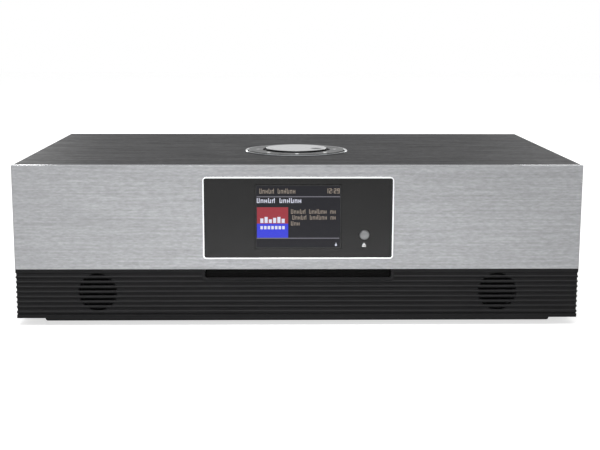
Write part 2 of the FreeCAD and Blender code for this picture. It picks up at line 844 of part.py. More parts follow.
plinthWidth = "cabinet_width - 2 * plinth_inset"
tray = newBody("tray")
sketch = sketchOn(tray, "tray_lip", "XY_Plane", 0, "middle_y", "tray_z")
rectangle(sketch, "cabinet_width", "cabinet_depth")
pad(tray, sketch, "lip_height - lip_groove / 2")
sketch = sketchOn(tray, "tray_step", "XY_Plane", 0, "middle_y", "tray_z + lip_height / 2")
rectangle(sketch, "cabinet_width - 2 * groove_depth", "cabinet_depth - 2 * groove_depth")
pad(tray, sketch, "lip_height / 2")
sketch = sketchOn(tray, "tray_plinth", "XY_Plane", 0, "middle_y", "foot_height")
rectangle(sketch, plinthWidth, "cabinet_depth")
pad(tray, sketch, "plinth_drop")
footHeight = number("foot_height")
dress(tray, "Fillet", "plinth_round", lambda edge: lies(edge, z=footHeight))
dress(tray, "Fillet", "skirt_corner",
      lambda edge: lies(edge, y=frontY) and (lies(edge, x=halfWidth) or lies(edge, x=-halfWidth)))
sketch = sketchOn(tray, "tray_hollow", "XY_Plane", 0, "middle_y", "skirt_z")
rectangle(sketch, f"{plinthWidth} - 4 * tray_floor", "cabinet_depth - 4 * tray_floor")
pocket(tray, sketch, "skirt_z - floor_top")

posts = [(f"{side} * (drive_width / 2 - 2 * post_radius)", f"drive_y + {back}", "drive_floor_up")
         for side in (-1, 1) for back in ("3 * post_radius", "drive_length - 3 * post_radius")]
posts += [(f"main_board_across + {side} * (main_board_width / 2 - 2 * post_radius)",
           f"main_board_y + {back}", "main_board_z - floor_top")
          for side in (-1, 1) for back in ("post_radius", "main_board_length - post_radius")]
posts += [(f"supply_across + {side} * (supply_width / 2 - 2 * post_radius)",
           f"supply_back + {end} * (supply_length / 2 - 2 * post_radius)", "supply_up - circuit_plate")
          for side in (-1, 1) for end in (-1, 1)]
for i, (x, y, height) in enumerate(posts):
    sketch = sketchOn(tray, f"post_{i}", "XY_Plane", 0, 0, "foot_height + tray_floor / 2")
    circle(sketch, "post_radius", x, y)
    pad(tray, sketch, f"{height} + tray_floor / 2")
sketch = sketchOn(tray, "woofer_vents", "XY_Plane", "sub_across", "sub_back", "floor_top")
for i in range(sizes["woofer_vent_count"]):
    row = f"({i} - (woofer_vent_count - 1) / 2)"
    reach = f"sqrt(sub_cone_radius^2 - ({row} * vent_pitch)^2)"
    low, high = f"{row} * vent_pitch - vent_slot / 2", f"{row} * vent_pitch + vent_slot / 2"
    outline(sketch, [(f"-{reach}", low), (reach, low), (reach, high), (f"-{reach}", high)])
pocket(tray, sketch)
node(tray, "bottom_tray")

# Rear panel in its recess, with a cut for each socket

rear = newBody("rear")
sketch = sketchOn(rear, "rear_upper", "XZ_Plane", 0, "rear_inside", "(fascia_z + board_under) / 2")
rectangle(sketch, "2 * inside_x", "board_under - fascia_z")
pad(rear, sketch, "rear_plate", True)
sketch = sketchOn(rear, "rear_lower", "XZ_Plane", 0, "rear_inside", "(fascia_z + skirt_z) / 2")
rectangle(sketch, "cabinet_width - 2 * skirt_wall", "fascia_z - skirt_z")
pad(rear, sketch, "rear_plate", True)
sketch = sketchOn(rear, "inlet_cut", "XZ_Plane", "inlet_across", "rear_inside", "socket_height")
roundedRectangle(sketch, "inlet_width - 2 * inlet_flange", "inlet_height - 2 * inlet_flange",
                 "inlet_round - inlet_flange")
pocket(rear, sketch)
rcaPlaces = [f"rca_across + {side} * rca_pitch / 2" for side in (-1, 1)]
jackPlaces = [f"jack_across + {i} * jack_pitch" for i in (0, 1, 2)]
sketch = sketchOn(rear, "socket_cuts", "XZ_Plane", 0, "rear_inside", "socket_height")
for x in rcaPlaces:
    circle(sketch, "rca_radius + socket_neck", x, 0)
for x in jackPlaces:
    circle(sketch, "jack_radius + socket_neck", x, 0)
circle(sketch, "antenna_radius + socket_neck", "antenna_across", 0)
pocket(rear, sketch)
screwLevels = ("fascia_z + screw_margin", "(fascia_z + board_under) / 2", "board_under - screw_margin")
rearScrews = [(f"{side} * (inside_x - batten / 2)", level) for side in (-1, 1) for level in screwLevels]
sketch = sketchOn(rear, "rear_screw_holes", "XZ_Plane", 0, "rear_inside", 0)
for x, z in rearScrews:
    circle(sketch, "screw_radius", x, z)
pocket(rear, sketch)
sketch = sketchOn(rear, "rear_vents", "XZ_Plane", "inlet_across", "rear_inside",
                  "(fascia_z + board_under) / 2")
for i in range(sizes["rear_vent_count"]):
    x = f"({i} - (rear_vent_count - 1) / 2) * vent_pitch"
    low, high = f"{x} - vent_slot / 2", f"{x} + vent_slot / 2"
    outline(sketch, [(low, "-rear_vent_reach"), (high, "-rear_vent_reach"),
                     (high, "rear_vent_reach"), (low, "rear_vent_reach")])
pocket(rear, sketch)
node(rear, "rear_panel")

battens = []
for side, low in ((-1, "-inside_x"), (1, "inside_x - batten")):
    stick = box("batten_stick", (low, "rear_inside - batten", "fascia_z"),
                ("batten", "batten", "board_under - fascia_z"))
    bores = [rod("batten_bore", (x, "rear_y - screw_length", z), "screw_radius", "screw_length", "Y")
             for x, z in rearScrews if x.startswith(str(side))]
    battens.append(cut("batten_drilled", stick, bores))
node(group("battens", battens), "rear_battens")

# One screw of each place: head outside, shank in its bore

screws = []
for x, z in rearScrews:
    head = rod("screw_head_rear", (x, "rear_y", z), "screw_head_radius", "screw_head", "Y")
    shank = rod("screw_shank_rear", (x, "rear_y - screw_length", z), "screw_radius", "screw_length", "Y")
    screws.append(joined("rear_screw", [head, shank]))
for x, y in podScrews:
    head = rod("screw_head_pod", (x, f"ring_y + {y}", "pod_base - screw_head"), "screw_head_radius",
               "screw_head")
    shank = rod("screw_shank_pod", (x, f"ring_y + {y}", "pod_base"), "screw_radius", "screw_length")
    screws.append(joined("pod_screw", [head, shank]))
node(group("screws", screws), "case_screws")

# Control in the top: trim ring, pod, keys, knob and encoder

turned("ring", "ring_trim", (0, "ring_y", 0), [
    ("ring_radius - ring_face", "top_z"),
    ("ring_radius - ring_face", "top_z + ring_proud - ring_inner_edge"),
    ("ring_radius - ring_face + ring_inner_edge", "top_z + ring_proud"),
    ("ring_radius - ring_outer_edge", "top_z + ring_proud"),
    ("ring_radius", "top_z + ring_proud - ring_outer_edge"),
    ("ring_radius", "top_z"),
    ("pod_hole", "top_z"),
    ("pod_hole", "top_z - ring_skirt"),
    ("pod_hole - ring_proud", "top_z - ring_skirt"),
    ("pod_hole - ring_proud", "top_z"),
])

podOuter = "pod_hole - ring_proud"
pod = newBody("pod")
sketch = sketchOn(pod, "pod_section", "XZ_Plane", 0, "ring_y", 0)
outline(sketch, [
    ("knob_radius + moving_gap", "web_z"),
    (f"{podOuter} - pod_wall", "web_z"),
    (f"{podOuter} - pod_wall", "pod_base"),
    ("pod_flange_radius", "pod_base"),
    ("pod_flange_radius", "board_under"),
    (podOuter, "board_under"),
    (podOuter, "pod_rim"),
    (f"{podOuter} - pod_wall", "pod_rim"),
    (f"{podOuter} - pod_wall", "web_z + pod_web"),
    ("key_inner - moving_gap", "web_z + pod_web"),
    ("key_inner - moving_gap", "key_under + key_plate / 2"),
    ("knob_radius + moving_gap", "key_under + key_plate / 2"),
])
revolve(pod, sketch)
sketch = sketchOn(pod, "pod_stem_holes", "XY_Plane", 0, "ring_y", "web_z + pod_web")
keyAngles = [360 / sizes["key_count"] * i for i in range(sizes["key_count"])]
for angle in keyAngles:
    circle(sketch, "key_stem_radius + moving_gap",
           f"key_stem_at * sin({angle})", f"-key_stem_at * cos({angle})")
pocket(pod, sketch)
sketch = sketchOn(pod, "pod_screw_passages", "XY_Plane", 0, "ring_y", "board_under")
for x, y in podScrews:
    circle(sketch, "screw_radius", x, y)
pocket(pod, sketch)
node(pod, "control_pod")

controlBoard = rod("control_circuit", ("0", "ring_y", "control_top - circuit_plate"),
                   "control_board_radius", "circuit_plate")
notches = [rod("screw_notch", (x, f"ring_y + {y}", "control_top - 2 * circuit_plate"),
               "screw_head_radius + moving_gap", "3 * circuit_plate") for x, y in podScrews]
node(cut("control_circuit_notched", controlBoard, notches), "control_board")

switches = []
for angle in keyAngles:
    x, y = f"key_stem_at * sin({angle})", f"ring_y - key_stem_at * cos({angle})"
    case = box("key_switch_case", (f"{x} - switch_side / 2", f"{y} - switch_side / 2", "control_top"),
               ("switch_side", "switch_side", "switch_height"))
    plunger = rod("key_switch_plunger", (x, y, "switch_top"), "plunger_radius", "plunger_height")
    switches.append(joined("key_switch", [case, plunger]))
ejectSwitchFront = "eject_end + eject_travel + moving_gap"
ejectCaseFront = f"{ejectSwitchFront} + plunger_height / 2"
ejectCase = middleBox("eject_switch_case", ("eject_across", ejectCaseFront, "eject_z - switch_side / 2"),
                      ("switch_side", f"panel_back - ({ejectCaseFront})", "switch_side"))
ejectPlunger = rod("eject_switch_plunger", ("eject_across", ejectSwitchFront, "eject_z"),
                   "plunger_radius", "plunger_height / 2", "Y")
switches.append(joined("eject_switch", [ejectCase, ejectPlunger]))
node(group("switch_set", switches), "tact_switches")

keyNames = ("front", "front_right", "right", "back_right", "back", "back_left", "left", "front_left")


def keySector(sketch):
    """One key seen from above: two arcs about the ring's centre and two straight sides."""
    half = math.radians(180 / sizes["key_count"] - sizes["key_gap_angle"] / 2)
    start, end = -math.pi / 2 - half, -math.pi / 2 + half
    inner, outer = number("key_inner"), number("key_outer")
    origin, up = vector(0, 0, 0), vector(0, 0, 1)

    def spot(radius, angle):
        return vector(radius * math.cos(angle), radius * math.sin(angle), 0)
    sketch.addGeometry(Part.ArcOfCircle(Part.Circle(origin, up, outer), start, end), False)
    sketch.addGeometry(Part.ArcOfCircle(Part.Circle(origin, up, inner), start, end), False)
    sketch.addGeometry(Part.LineSegment(spot(outer, end), spot(inner, end)), False)
    sketch.addGeometry(Part.LineSegment(spot(inner, start), spot(outer, start)), False)
    tie(sketch, "Coincident", 0, 3, -1, 1)
    tie(sketch, "Coincident", 1, 3, -1, 1)
    tie(sketch, "Coincident", 0, 2, 2, 1)
    tie(sketch, "Coincident", 2, 2, 1, 2)
    tie(sketch, "Coincident", 1, 1, 3, 1)
    tie(sketch, "Coincident", 3, 2, 0, 1)
    tie(sketch, "PointOnObject", -1, 1, 2)
    dimension(sketch, "key_outer", "Radius", 0)
    dimension(sketch, "key_inner", "Radius", 1)
    halfAngle = "180 / key_count - key_gap_angle / 2"
    dimension(sketch, f"key_outer * sin({halfAngle})", "DistanceX", -1, 1, 0, 2)
    dimension(sketch, f"-key_outer * sin({halfAngle})", "DistanceX", -1, 1, 0, 1)
    dimension(sketch, f"-key_inner * sin({halfAngle})", "DistanceX", -1, 1, 1, 1)


for position, angle in zip(keyNames, keyAngles):
    key = newBody("key_" + position)
    sketch = sketchOn(key, f"key_{position}_plan", "XY_Plane", 0, 0, "key_under")
    keySector(sketch)
    pad(key, sketch, "key_plate")
    keyTop = number("key_top")
    dress(key, "Fillet", "key_round", lambda edge: lies(edge, z=keyTop))
    sketch = sketchOn(key, f"key_{position}_stem", "XY_Plane", 0, 0, "stem_end")
    circle(sketch, "key_stem_radius", 0, "-key_stem_at")
    pad(key, sketch, "key_under - stem_end + key_plate / 2")
    key.Placement.Rotation = FreeCAD.Rotation(vector(0, 0, 1), angle)
    place(key, 0, "ring_y", 0)
    node(key, "key_" + position)

encoder = newBody("encoder")
sketch = sketchOn(encoder, "encoder_case", "XY_Plane", 0, "ring_y", "control_top")
rectangle(sketch, "encoder_side", "encoder_side")
pad(encoder, sketch, "encoder_height")
sketch = sketchOn(encoder, "encoder_bush_round", "XY_Plane", 0, "ring_y", "encoder_top")
circle(sketch, "encoder_bush")
pad(encoder, sketch, "encoder_neck")
sketch = sketchOn(encoder, "encoder_cavity", "XZ_Plane", 0, "ring_y", 0)
cavityTop = "slider_z + 2 * slider_plate + 2 * running_gap"
outline(sketch, [("0", "cavity_z"), ("slider_radius + moving_gap", "cavity_z"),
                 ("slider_radius + moving_gap", cavityTop), ("shaft_radius + running_gap", cavityTop),
                 ("shaft_radius + running_gap", "bush_top"), ("0", "bush_top")])
groove = encoder.newObject("PartDesign::Groove", "encoder_hollow")
groove.Profile = sketch
groove.ReferenceAxis = (sketch, ["V_Axis"])
groove.Angle = 360
encoder.Tip = groove
node(encoder, "encoder_body")

slider = rod("slider", ("0", "ring_y", "slider_z"), "slider_radius", "slider_plate")
node(slider, "encoder_slider")

shaftFoot = "slider_z + slider_plate + running_gap"
turned("shaft", "encoder_shaft", (0, "ring_y", 0), [
    ("0", shaftFoot),
    ("slider_radius", shaftFoot),
    ("slider_radius", f"{shaftFoot} + slider_plate"),
    ("shaft_radius", f"{shaftFoot} + slider_plate"),
    ("shaft_radius", "core_top"),
    ("0", "core_top"),
])

turned("core", "knob_core", (0, "ring_y", 0), [
    ("shaft_radius", "bush_top + knob_press + moving_gap"),
    ("core_hub", "bush_top + knob_press + moving_gap"),
    ("core_hub", "core_under"),
    ("knob_radius - core_step", "core_under"),
    ("knob_radius - core_step", "knob_rim"),
    ("knob_radius - knob_lap", "knob_rim"),
    ("knob_radius - knob_lap", "core_top"),
    ("shaft_radius", "core_top"),
])

knob = newBody("knob")
sketch = sketchOn(knob, "knob_section", "XZ_Plane", 0, "ring_y", 0)
outline(sketch, [
    ("0", "core_top"),
    ("knob_radius - knob_lap", "core_top"),
    ("knob_radius - knob_lap", "knob_rim"),
    ("knob_radius", "knob_rim"),
    ("knob_radius", "knob_top"),
    ("0", "knob_top"),
])
revolve(knob, sketch)
knobTop = number("knob_top")
dress(knob, "Fillet", "knob_round", lambda edge: lies(edge, z=knobTop))
sketch = sketchOn(knob, "knob_dimple", "XZ_Plane", "dimple_across", "ring_y - dimple_forward", "knob_top")
dimpleBall = "(dimple_radius^2 + dimple_depth^2) / (2 * dimple_depth)"
ball, rise = number(dimpleBall), number("dimple_depth")
reach = math.asin(number("dimple_radius") / ball)
ballCentre = vector(0, ball - rise, 0)
bowl = Part.ArcOfCircle(Part.Circle(ballCentre, vector(0, 0, 1), ball), -math.pi / 2, -math.pi / 2 + reach)
sketch.addGeometry(bowl, False)
rimPoint = vector(number("dimple_radius"), 0, 0)
sketch.addGeometry(Part.LineSegment(rimPoint, vector(0, 0, 0)), False)
sketch.addGeometry(Part.LineSegment(vector(0, 0, 0), vector(0, -rise, 0)), False)
tie(sketch, "PointOnObject", 0, 3, -2)
tie(sketch, "Coincident", 0, 2, 1, 1)
tie(sketch, "Coincident", 1, 2, 2, 1)
tie(sketch, "Coincident", 2, 2, 0, 1)
tie(sketch, "Coincident", 1, 2, -1, 1)
tie(sketch, "Horizontal", 1)
tie(sketch, "Vertical", 2)
dimension(sketch, "dimple_radius", "DistanceX", -1, 1, 1, 1)
dimension(sketch, "dimple_depth", "DistanceY", 0, 1, -1, 1)
groove = knob.newObject("PartDesign::Groove", "dimple_bowl")
groove.Profile = sketch
groove.ReferenceAxis = (sketch, ["V_Axis"])
groove.Angle = 360
knob.Tip = groove
node(knob, "knob_cap")

# Loudspeakers: frame, magnet, cone with its coil, and surround.
# Depths run back from the mounting face; a woofer that fires down uses heights instead.


def loudspeaker(name, at, along, start, word):
    """Four pieces of one driver; word picks its own sizes."""
    def own(size):
        return f"{word}_{size}" if f"{word}_{size}" in sizes else size
    radius = own("radius") if word == "sub" else "driver_radius"
    flange = own("flange") if word == "sub" else "driver_flange"
    depth = own("depth") if word == "sub" else "driver_depth"
    neck = own("neck") if word == "sub" else "driver_neck"
    coil, wall, paper = own("coil_radius"), own("coil_wall"), own("cone_paper")
    cone, coneDepth = own("cone_radius"), own("cone_depth")
    magnet, magnetLength = own("magnet_radius"), own("magnet_length")
    rim = f"({start}) + {flange}"
    rearFace = f"({start}) + {depth}"
    lining = f"{cone} + 2 * moving_gap + {flange}"
    turned(name + "_frame", name + "_frame", at, [
        (lining, start), (radius, start), (radius, rim), (f"{neck} + basket_wall", rearFace),
        (f"{coil} + {wall} + moving_gap", rearFace),
        (f"{coil} + {wall} + moving_gap", f"{rearFace} - basket_wall"), (neck, f"{rearFace} - basket_wall"),
        (f"{lining} + basket_wall / 2", rim), (lining, rim),
    ], along)
    gapInner = f"{coil} - moving_gap"
    gapOuter = f"{coil} + {wall} + moving_gap"
    gapFloor = f"{rearFace} + {own('pole_length')}"
    turned(name + "_magnet", name + "_magnet", at, [
        ("0", rearFace), (gapInner, rearFace), (gapInner, gapFloor), (gapOuter, gapFloor),
        (gapOuter, rearFace), (magnet, rearFace), (magnet, f"{rearFace} + {magnetLength}"),
        ("0", f"{rearFace} + {magnetLength}"),
    ], along)
    coneFront = f"({start}) + {own('cone_sink')}"
    coilEnd = f"{rearFace} + {own('pole_length')} / 2"
    turned(name + "_cone", name + "_cone", at, [
        ("0", f"{coneFront} + {coneDepth} - {paper} * 3"),
        (coil, f"{coneFront} + {coneDepth} - {paper} * 1.5"),
        (cone, coneFront), (cone, f"{coneFront} + {paper} * 2"),
        (f"{coil} + {wall}", f"{coneFront} + {coneDepth} + {paper}"),
        (f"{coil} + {wall}", coilEnd), (coil, coilEnd),
        (coil, f"{coneFront} + {coneDepth} + {paper}"), ("0", f"{coneFront} + {coneDepth} - {paper}"),
    ], along)
    edge = f"({start}) + {own('roll_edge')}"
    crown = f"({cone} + moving_gap) / 2 + ({lining}) / 2"
    turned(name + "_surround", name + "_surround", at, [
        (f"{cone} + moving_gap", edge), (crown, f"({start}) + {own('roll_rise')}"), (lining, edge),
        (lining, rim), (crown, edge), (f"{cone} + moving_gap", rim),
    ], along)


for side, sign in (("left", -1), ("right", 1)):
    loudspeaker(side + "_driver", (f"{sign} * driver_across", 0, "driver_z"), "Y", "driver_y", side)
loudspeaker("sub", ("sub_across", "sub_back", 0), "Z", "floor_top", "sub")

# Disc drive

driveWalls = [
    middleBox("drive_floor", ("0", "drive_y", "drive_z"), ("drive_width", "drive_length", "sheet")),
    box("drive_left_wall", ("-drive_width / 2", "drive_y", "drive_z"),
        ("sheet", "drive_length", "drive_height")),
    box("drive_right_wall", ("drive_width / 2 - sheet", "drive_y", "drive_z"),
        ("sheet", "drive_length", "drive_height")),
    middleBox("drive_back_wall", ("0", "drive_y + drive_length - sheet", "drive_z"),
              ("drive_width", "sheet", "drive_height")),
]
for side in (-1, 1):
    driveWalls.append(middleBox("rod_block_solid", (f"{side} * rod_across", "rod_y", "motor_z"),
                                ("2 * rod_block", "rod_block", "rod_z - motor_z + 2 * rod_radius")))
rodBores = [rod("rod_bore", (f"{side} * rod_across", "rod_y", "rod_z"), "rod_radius", "rod_block", "Y")
            for side in (-1, 1)]
rollerBore = rod("roller_bore", ("-drive_width / 2", "roller_y", "roller_z"),
                 "roller_pin + running_gap", "drive_width", "X")
node(cut("drive_tub", joined("drive_sheet", driveWalls), rodBores + [rollerBore]), "cd_chassis")

cover = newBody("cover")
sketch = sketchOn(cover, "cover_plan", "XY_Plane", 0, "drive_y + drive_length / 2", "drive_top")
rectangle(sketch, "drive_width", "drive_length")
pad(cover, sketch, "sheet")
sketch = sketchOn(cover, "cover_opening", "XY_Plane", 0, "spindle_y", "drive_top + sheet")
circle(sketch, "turntable_radius")
pocket(cover, sketch)
node(cover, "cd_cover")

turned("roller", "cd_roller", (0, "roller_y", "roller_z"), [
    ("0", "-drive_width / 2"), ("roller_pin", "-drive_width / 2"), ("roller_pin", "-roller_length / 2"),
    ("roller_radius", "-roller_length / 2"), ("roller_radius", "roller_length / 2"),
    ("roller_pin", "roller_length / 2"), ("roller_pin", "drive_width / 2"), ("0", "drive_width / 2"),
], "Y")
roller = nodes[-1]
roller.Placement.Rotation = FreeCAD.Rotation(vector(0, 0, 1), -90)
place(roller, "-roller_y", "roller_y", 0)

turned("motor", "cd_spindle_motor", (0, "spindle_y", 0), [
    ("0", "motor_z"), ("spindle_motor_radius", "motor_z"), ("spindle_motor_radius", "motor_top"),
    ("spindle_pin", "motor_top"), ("spindle_pin", "turntable_z + turntable_plate"),
    ("0", "turntable_z + turntable_plate"),
])
turned("turntable", "cd_turntable", (0, "spindle_y", 0), [
    ("spindle_pin + running_gap", "turntable_z"), ("turntable_radius", "turntable_z"),
    ("turntable_radius", "turntable_z + turntable_plate"),
    ("turntable_hub", "turntable_z + turntable_plate"),
    ("turntable_hub - moving_gap", "turntable_z + turntable_plate + turntable_hub_height"),
    ("0", "turntable_z + turntable_plate + turntable_hub_height"),
    ("0", "turntable_z + turntable_plate + running_gap"),
    ("spindle_pin + running_gap", "turntable_z + turntable_plate + running_gap"),
])

sledBlock = middleBox("sled_block", ("0", "sled_y", "rod_z - sled_height / 2"),
                      ("sled_width", "sled_length", "sled_height"))
lensTurret = rod("lens_turret", ("0", "sled_y + sled_length / 2", "rod_z + sled_height / 2"), "rod_block",
                 "sheet")
sledBores = [rod("sled_bore", (f"{side} * rod_across", "sled_y", "rod_z"), "rod_radius + running_gap",
                 "sled_length", "Y") for side in (-1, 1)]
node(cut("sled", joined("sled_solid", [sledBlock, lensTurret]), sledBores), "cd_laser_sled")
guideRods = [rod("guide_rod", (f"{side} * rod_across", "rod_y", "rod_z"), "rod_radius", "rod_length", "Y")
             for side in (-1, 1)]
node(group("guide_rods", guideRods), "cd_guide_rods")

slitFloor = "fascia_z - felt / 2 - lip_slit"
lips = [
    middleBox("upper_felt", ("0", "driver_y", "fascia_z - felt / 2"),
              ("mouth_width - 2 * mouth_round", "carrier_back - driver_y", "felt / 2")),
    middleBox("lower_felt", ("0", "driver_y", f"{slitFloor} - 4 * felt"),
              ("mouth_width", "felt", "4 * felt")),
]
node(group("felt_lips", lips), "slot_lips")

# Circuit boards behind and beside the drive


def circuit(name, label, low, width, length, blocks):
    """A board with its components; each block is place, extent and shape."""
    x, y, z = low
    parts = [middleBox(name + "_plate", low, (width, length, "circuit_plate"))]
    for across, back, wide, deep, high in blocks:
        start = (f"{x} + ({across})", f"({y}) + ({back})", f"({z}) + circuit_plate")
        if deep is None:
            parts.append(rod(name + "_can", start, f"({wide}) / 2", high))
        else:
            parts.append(middleBox(name + "_block", start, (wide, deep, high)))
    node(group(name, parts), label)


circuit("main_circuit", "main_board", ("main_board_across", "main_board_y", "main_board_z"),
        "main_board_width", "main_board_length", [
            ("0", "main_board_free / 8", "main_board_width / 4", "main_board_free * 3 / 4", "shield_height"),
            ("main_board_width / 4", "main_board_free / 4", "chip_side", "main_board_free / 2", "chip_plate"),
            ("-main_board_width / 3", "main_board_free / 4", "heat_sink_width", "main_board_free / 4",
             "heat_sink_height"),
            ("-main_board_width / 6", "main_board_free / 2", "main_board_free / 4", None,
             "small_can_height"),
            ("main_board_width * 2 / 5", "main_board_free / 2", "main_board_free / 4", None,
             "small_can_height"),
        ])
circuit("supply_circuit", "power_supply_board",
        ("supply_across", "supply_back - supply_length / 2", "supply_z"),
        "supply_width", "supply_length", [
            ("0", "supply_length / 3", "transformer_width", "transformer_length", "transformer_height"),
            ("-supply_width / 4", "supply_length * 4 / 5", "main_can", None, "main_can_height"),
            ("-supply_width / 4", "supply_length / 6", "side_can", None, "side_can_height"),
            ("supply_width / 3", "supply_length / 5", "supply_sink_plate", "supply_sink_length",
             "supply_sink_height"),
        ])

# Sockets through the rear panel


def socket(name, x, radius, bore, length):
    """A round socket: block inside, barrel through the panel, blind bore from outside."""
    blockFront = "rear_inside - socket_body_length"
    block = middleBox(name + "_block", (x, blockFront, "socket_height - socket_body / 2"),
                      ("socket_body", "socket_body_length", "socket_body"))
    neck = rod(name + "_neck", (x, "rear_inside", "socket_height"), f"{radius} + socket_neck",
               "rear_plate", "Y")
    barrel = rod(name + "_barrel", (x, "rear_y", "socket_height"), radius, length, "Y")
    hole = rod(name + "_hole", (x, f"{blockFront} + socket_end_wall", "socket_height"), bore,
               f"rear_y + ({length}) - ({blockFront}) - socket_end_wall", "Y")
    return cut(name, joined(name + "_solid", [block, neck, barrel]), [hole])


rcaSockets = [socket("rca_socket", x, "rca_radius", "rca_bore", "rca_length") for x in rcaPlaces]
node(group("rca_pair", rcaSockets), "line_sockets")
jacks = [socket("jack_socket", x, "jack_radius", "jack_bore", "jack_length") for x in jackPlaces]
node(group("jack_row", jacks), "jack_sockets")
node(socket("antenna_barrel", "antenna_across", "antenna_radius", "antenna_bore", "antenna_length"),
     "antenna_socket")

inlet = newBody("inlet")
sketch = sketchOn(inlet, "inlet_flange_outline", "XZ_Plane", "inlet_across", "rear_y", "socket_height")
roundedRectangle(sketch, "inlet_width", "inlet_height", "inlet_round")
pad(inlet, sketch, "inlet_flange", True)
sketch = sketchOn(inlet, "inlet_shell", "XZ_Plane", "inlet_across", "rear_y", "socket_height")
roundedRectangle(sketch, "inlet_width - 2 * inlet_flange", "inlet_height - 2 * inlet_flange",
                 "inlet_round - inlet_flange")
pad(inlet, sketch, "inlet_depth")
sketch = sketchOn(inlet, "inlet_well", "XZ_Plane", "inlet_across", "rear_y + inlet_flange", "socket_height")
roundedRectangle(sketch, "inlet_hole_width", "inlet_hole_height", "inlet_hole_height / 2 - moving_gap")
pocket(inlet, sketch, "inlet_depth", True)
sketch = sketchOn(inlet, "inlet_pins", "XZ_Plane", "inlet_across", "rear_y - inlet_depth + inlet_flange",
                  "socket_height")
for side in (-1, 1):
    circle(sketch, "inlet_pin_radius", f"{side} * inlet_pin_pitch / 2", 0)
pad(inlet, sketch, "inlet_depth - inlet_flange", True)
node(inlet, "mains_inlet")

# Rubber feet under the plinth

feet = []
for x in ("-foot_across", "foot_across"):
    for y in ("front_y + foot_front", "back_y - foot_back"):
        feet.append(rod("foot_pad", (x, y, "0"), "foot_radius", "foot_height"))
node(group("feet", feet), "rubber_feet")

# Check every object and write one file for each node

doc.recompute()
for item in doc.Objects:
    if "Invalid" in item.State or "Error" in item.State:
        raise SystemExit(f"{item.Name} ({item.Label}) failed: {item.State}")
for piece in nodes:
    shape = piece.Shape
    if shape.isNull() or not shape.isValid() or not shape.Solids:
        raise SystemExit(f"{piece.Label} has no valid solid")
for piece in nodes:
    piece.Shape.exportStep(f"parts/{piece.Label}.step")
    print(f"{piece.Label:24s} {len(piece.Shape.Solids):3d} {piece.Shape.Volume / 1000:9.2f} cm3")
print(len(nodes), "nodes")
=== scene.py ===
import math

import bmesh
import bpy
from mathutils import Matrix, Vector


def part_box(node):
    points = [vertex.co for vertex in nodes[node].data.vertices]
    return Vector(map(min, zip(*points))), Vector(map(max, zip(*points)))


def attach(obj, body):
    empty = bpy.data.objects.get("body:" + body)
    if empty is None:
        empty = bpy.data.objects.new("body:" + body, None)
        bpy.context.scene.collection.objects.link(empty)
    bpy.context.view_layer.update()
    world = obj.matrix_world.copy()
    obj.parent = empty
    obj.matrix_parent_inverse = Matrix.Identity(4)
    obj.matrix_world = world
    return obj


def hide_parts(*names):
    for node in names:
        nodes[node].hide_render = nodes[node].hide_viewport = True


# Tabletop radio: foiled cabinet, brushed fascia, ribbed base, knob in a ring of keys.
# Metres, +X right, +Y back, +Z up; sizes in the dictionaries are millimetres.

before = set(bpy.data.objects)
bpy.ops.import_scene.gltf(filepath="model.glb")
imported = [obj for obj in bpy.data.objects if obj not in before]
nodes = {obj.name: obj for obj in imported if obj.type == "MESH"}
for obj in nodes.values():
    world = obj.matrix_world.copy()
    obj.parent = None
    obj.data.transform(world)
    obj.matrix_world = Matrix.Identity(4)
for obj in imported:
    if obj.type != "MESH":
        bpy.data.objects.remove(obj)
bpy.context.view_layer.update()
mm = 0.001
keyNames = ("front", "front_right", "right", "back_right", "back", "back_left", "left", "front_left")
print("frame loaded,", len(nodes), "nodes")


# ---- node and material helpers

def hexColour(text):
    channels = [int(text[i:i + 2], 16) / 255 for i in (0, 2, 4)]
    linear = [c / 12.92 if c <= 0.04045 else ((c + 0.055) / 1.055) ** 2.4 for c in channels]
    return (*linear, 1)


def tones(dark, light):
    # two colours over the usual spread of a noise
    return [(0.3, hexColour(dark)), (0.7, hexColour(light))]


def addNode(tree, kind, inputs=None, stops=None, **settings):
    # one node with its settings, values and links; stops fill a colour ramp
    node = tree.nodes.new("ShaderNode" + kind)
    for name, value in settings.items():
        setattr(node, name, value)
    for name, value in (inputs or {}).items():
        if isinstance(value, bpy.types.NodeSocket):
            tree.links.new(value, node.inputs[name])
        else:
            node.inputs[name].default_value = value
    if stops:
        ramp = node.color_ramp.elements
        while len(ramp) < len(stops):
            ramp.new(0.5)
        for element, (position, colour) in zip(ramp, stops):
            element.position = position
            element.color = colour if isinstance(colour, tuple) else (colour, colour, colour, 1)
    return node


def startMaterial(name, surface):
    # surface holds the constants of the Principled shader
    material = bpy.data.materials.new(name)
    material.use_nodes = True
    tree = material.node_tree
    tree.nodes.clear()
    shader = addNode(tree, "BsdfPrincipled", surface)
    addNode(tree, "OutputMaterial", {"Surface": shader.outputs[0]})
    place = addNode(tree, "TexCoord").outputs["Object"]
    return material, tree, shader, place


def grain(tree, place, size, detail, roughness=0.5):
    # noise whose features are size millimetres along x, y and z
    scale = tuple(1 / (s * mm) for s in size)
    spot = addNode(tree, "Mapping", {"Vector": place, "Scale": scale})
    return addNode(tree, "TexNoise", {"Vector": spot.outputs[0], "Scale": 1.0, "Detail": detail,
                                      "Roughness": roughness}).outputs["Fac"]


def relief(tree, shader, height, depth, strength):
    # depth of the surface relief in millimetres
    bump = addNode(tree, "Bump", {"Height": height, "Distance": depth * mm, "Strength": strength})
    tree.links.new(bump.outputs[0], shader.inputs["Normal"])


def tint(tree, shader, value, stops, socket="Base Color"):
    ramp = addNode(tree, "ValToRGB", {"Fac": value}, stops=stops)
    tree.links.new(ramp.outputs[0], shader.inputs[socket])


# ---- materials, each named after the real one

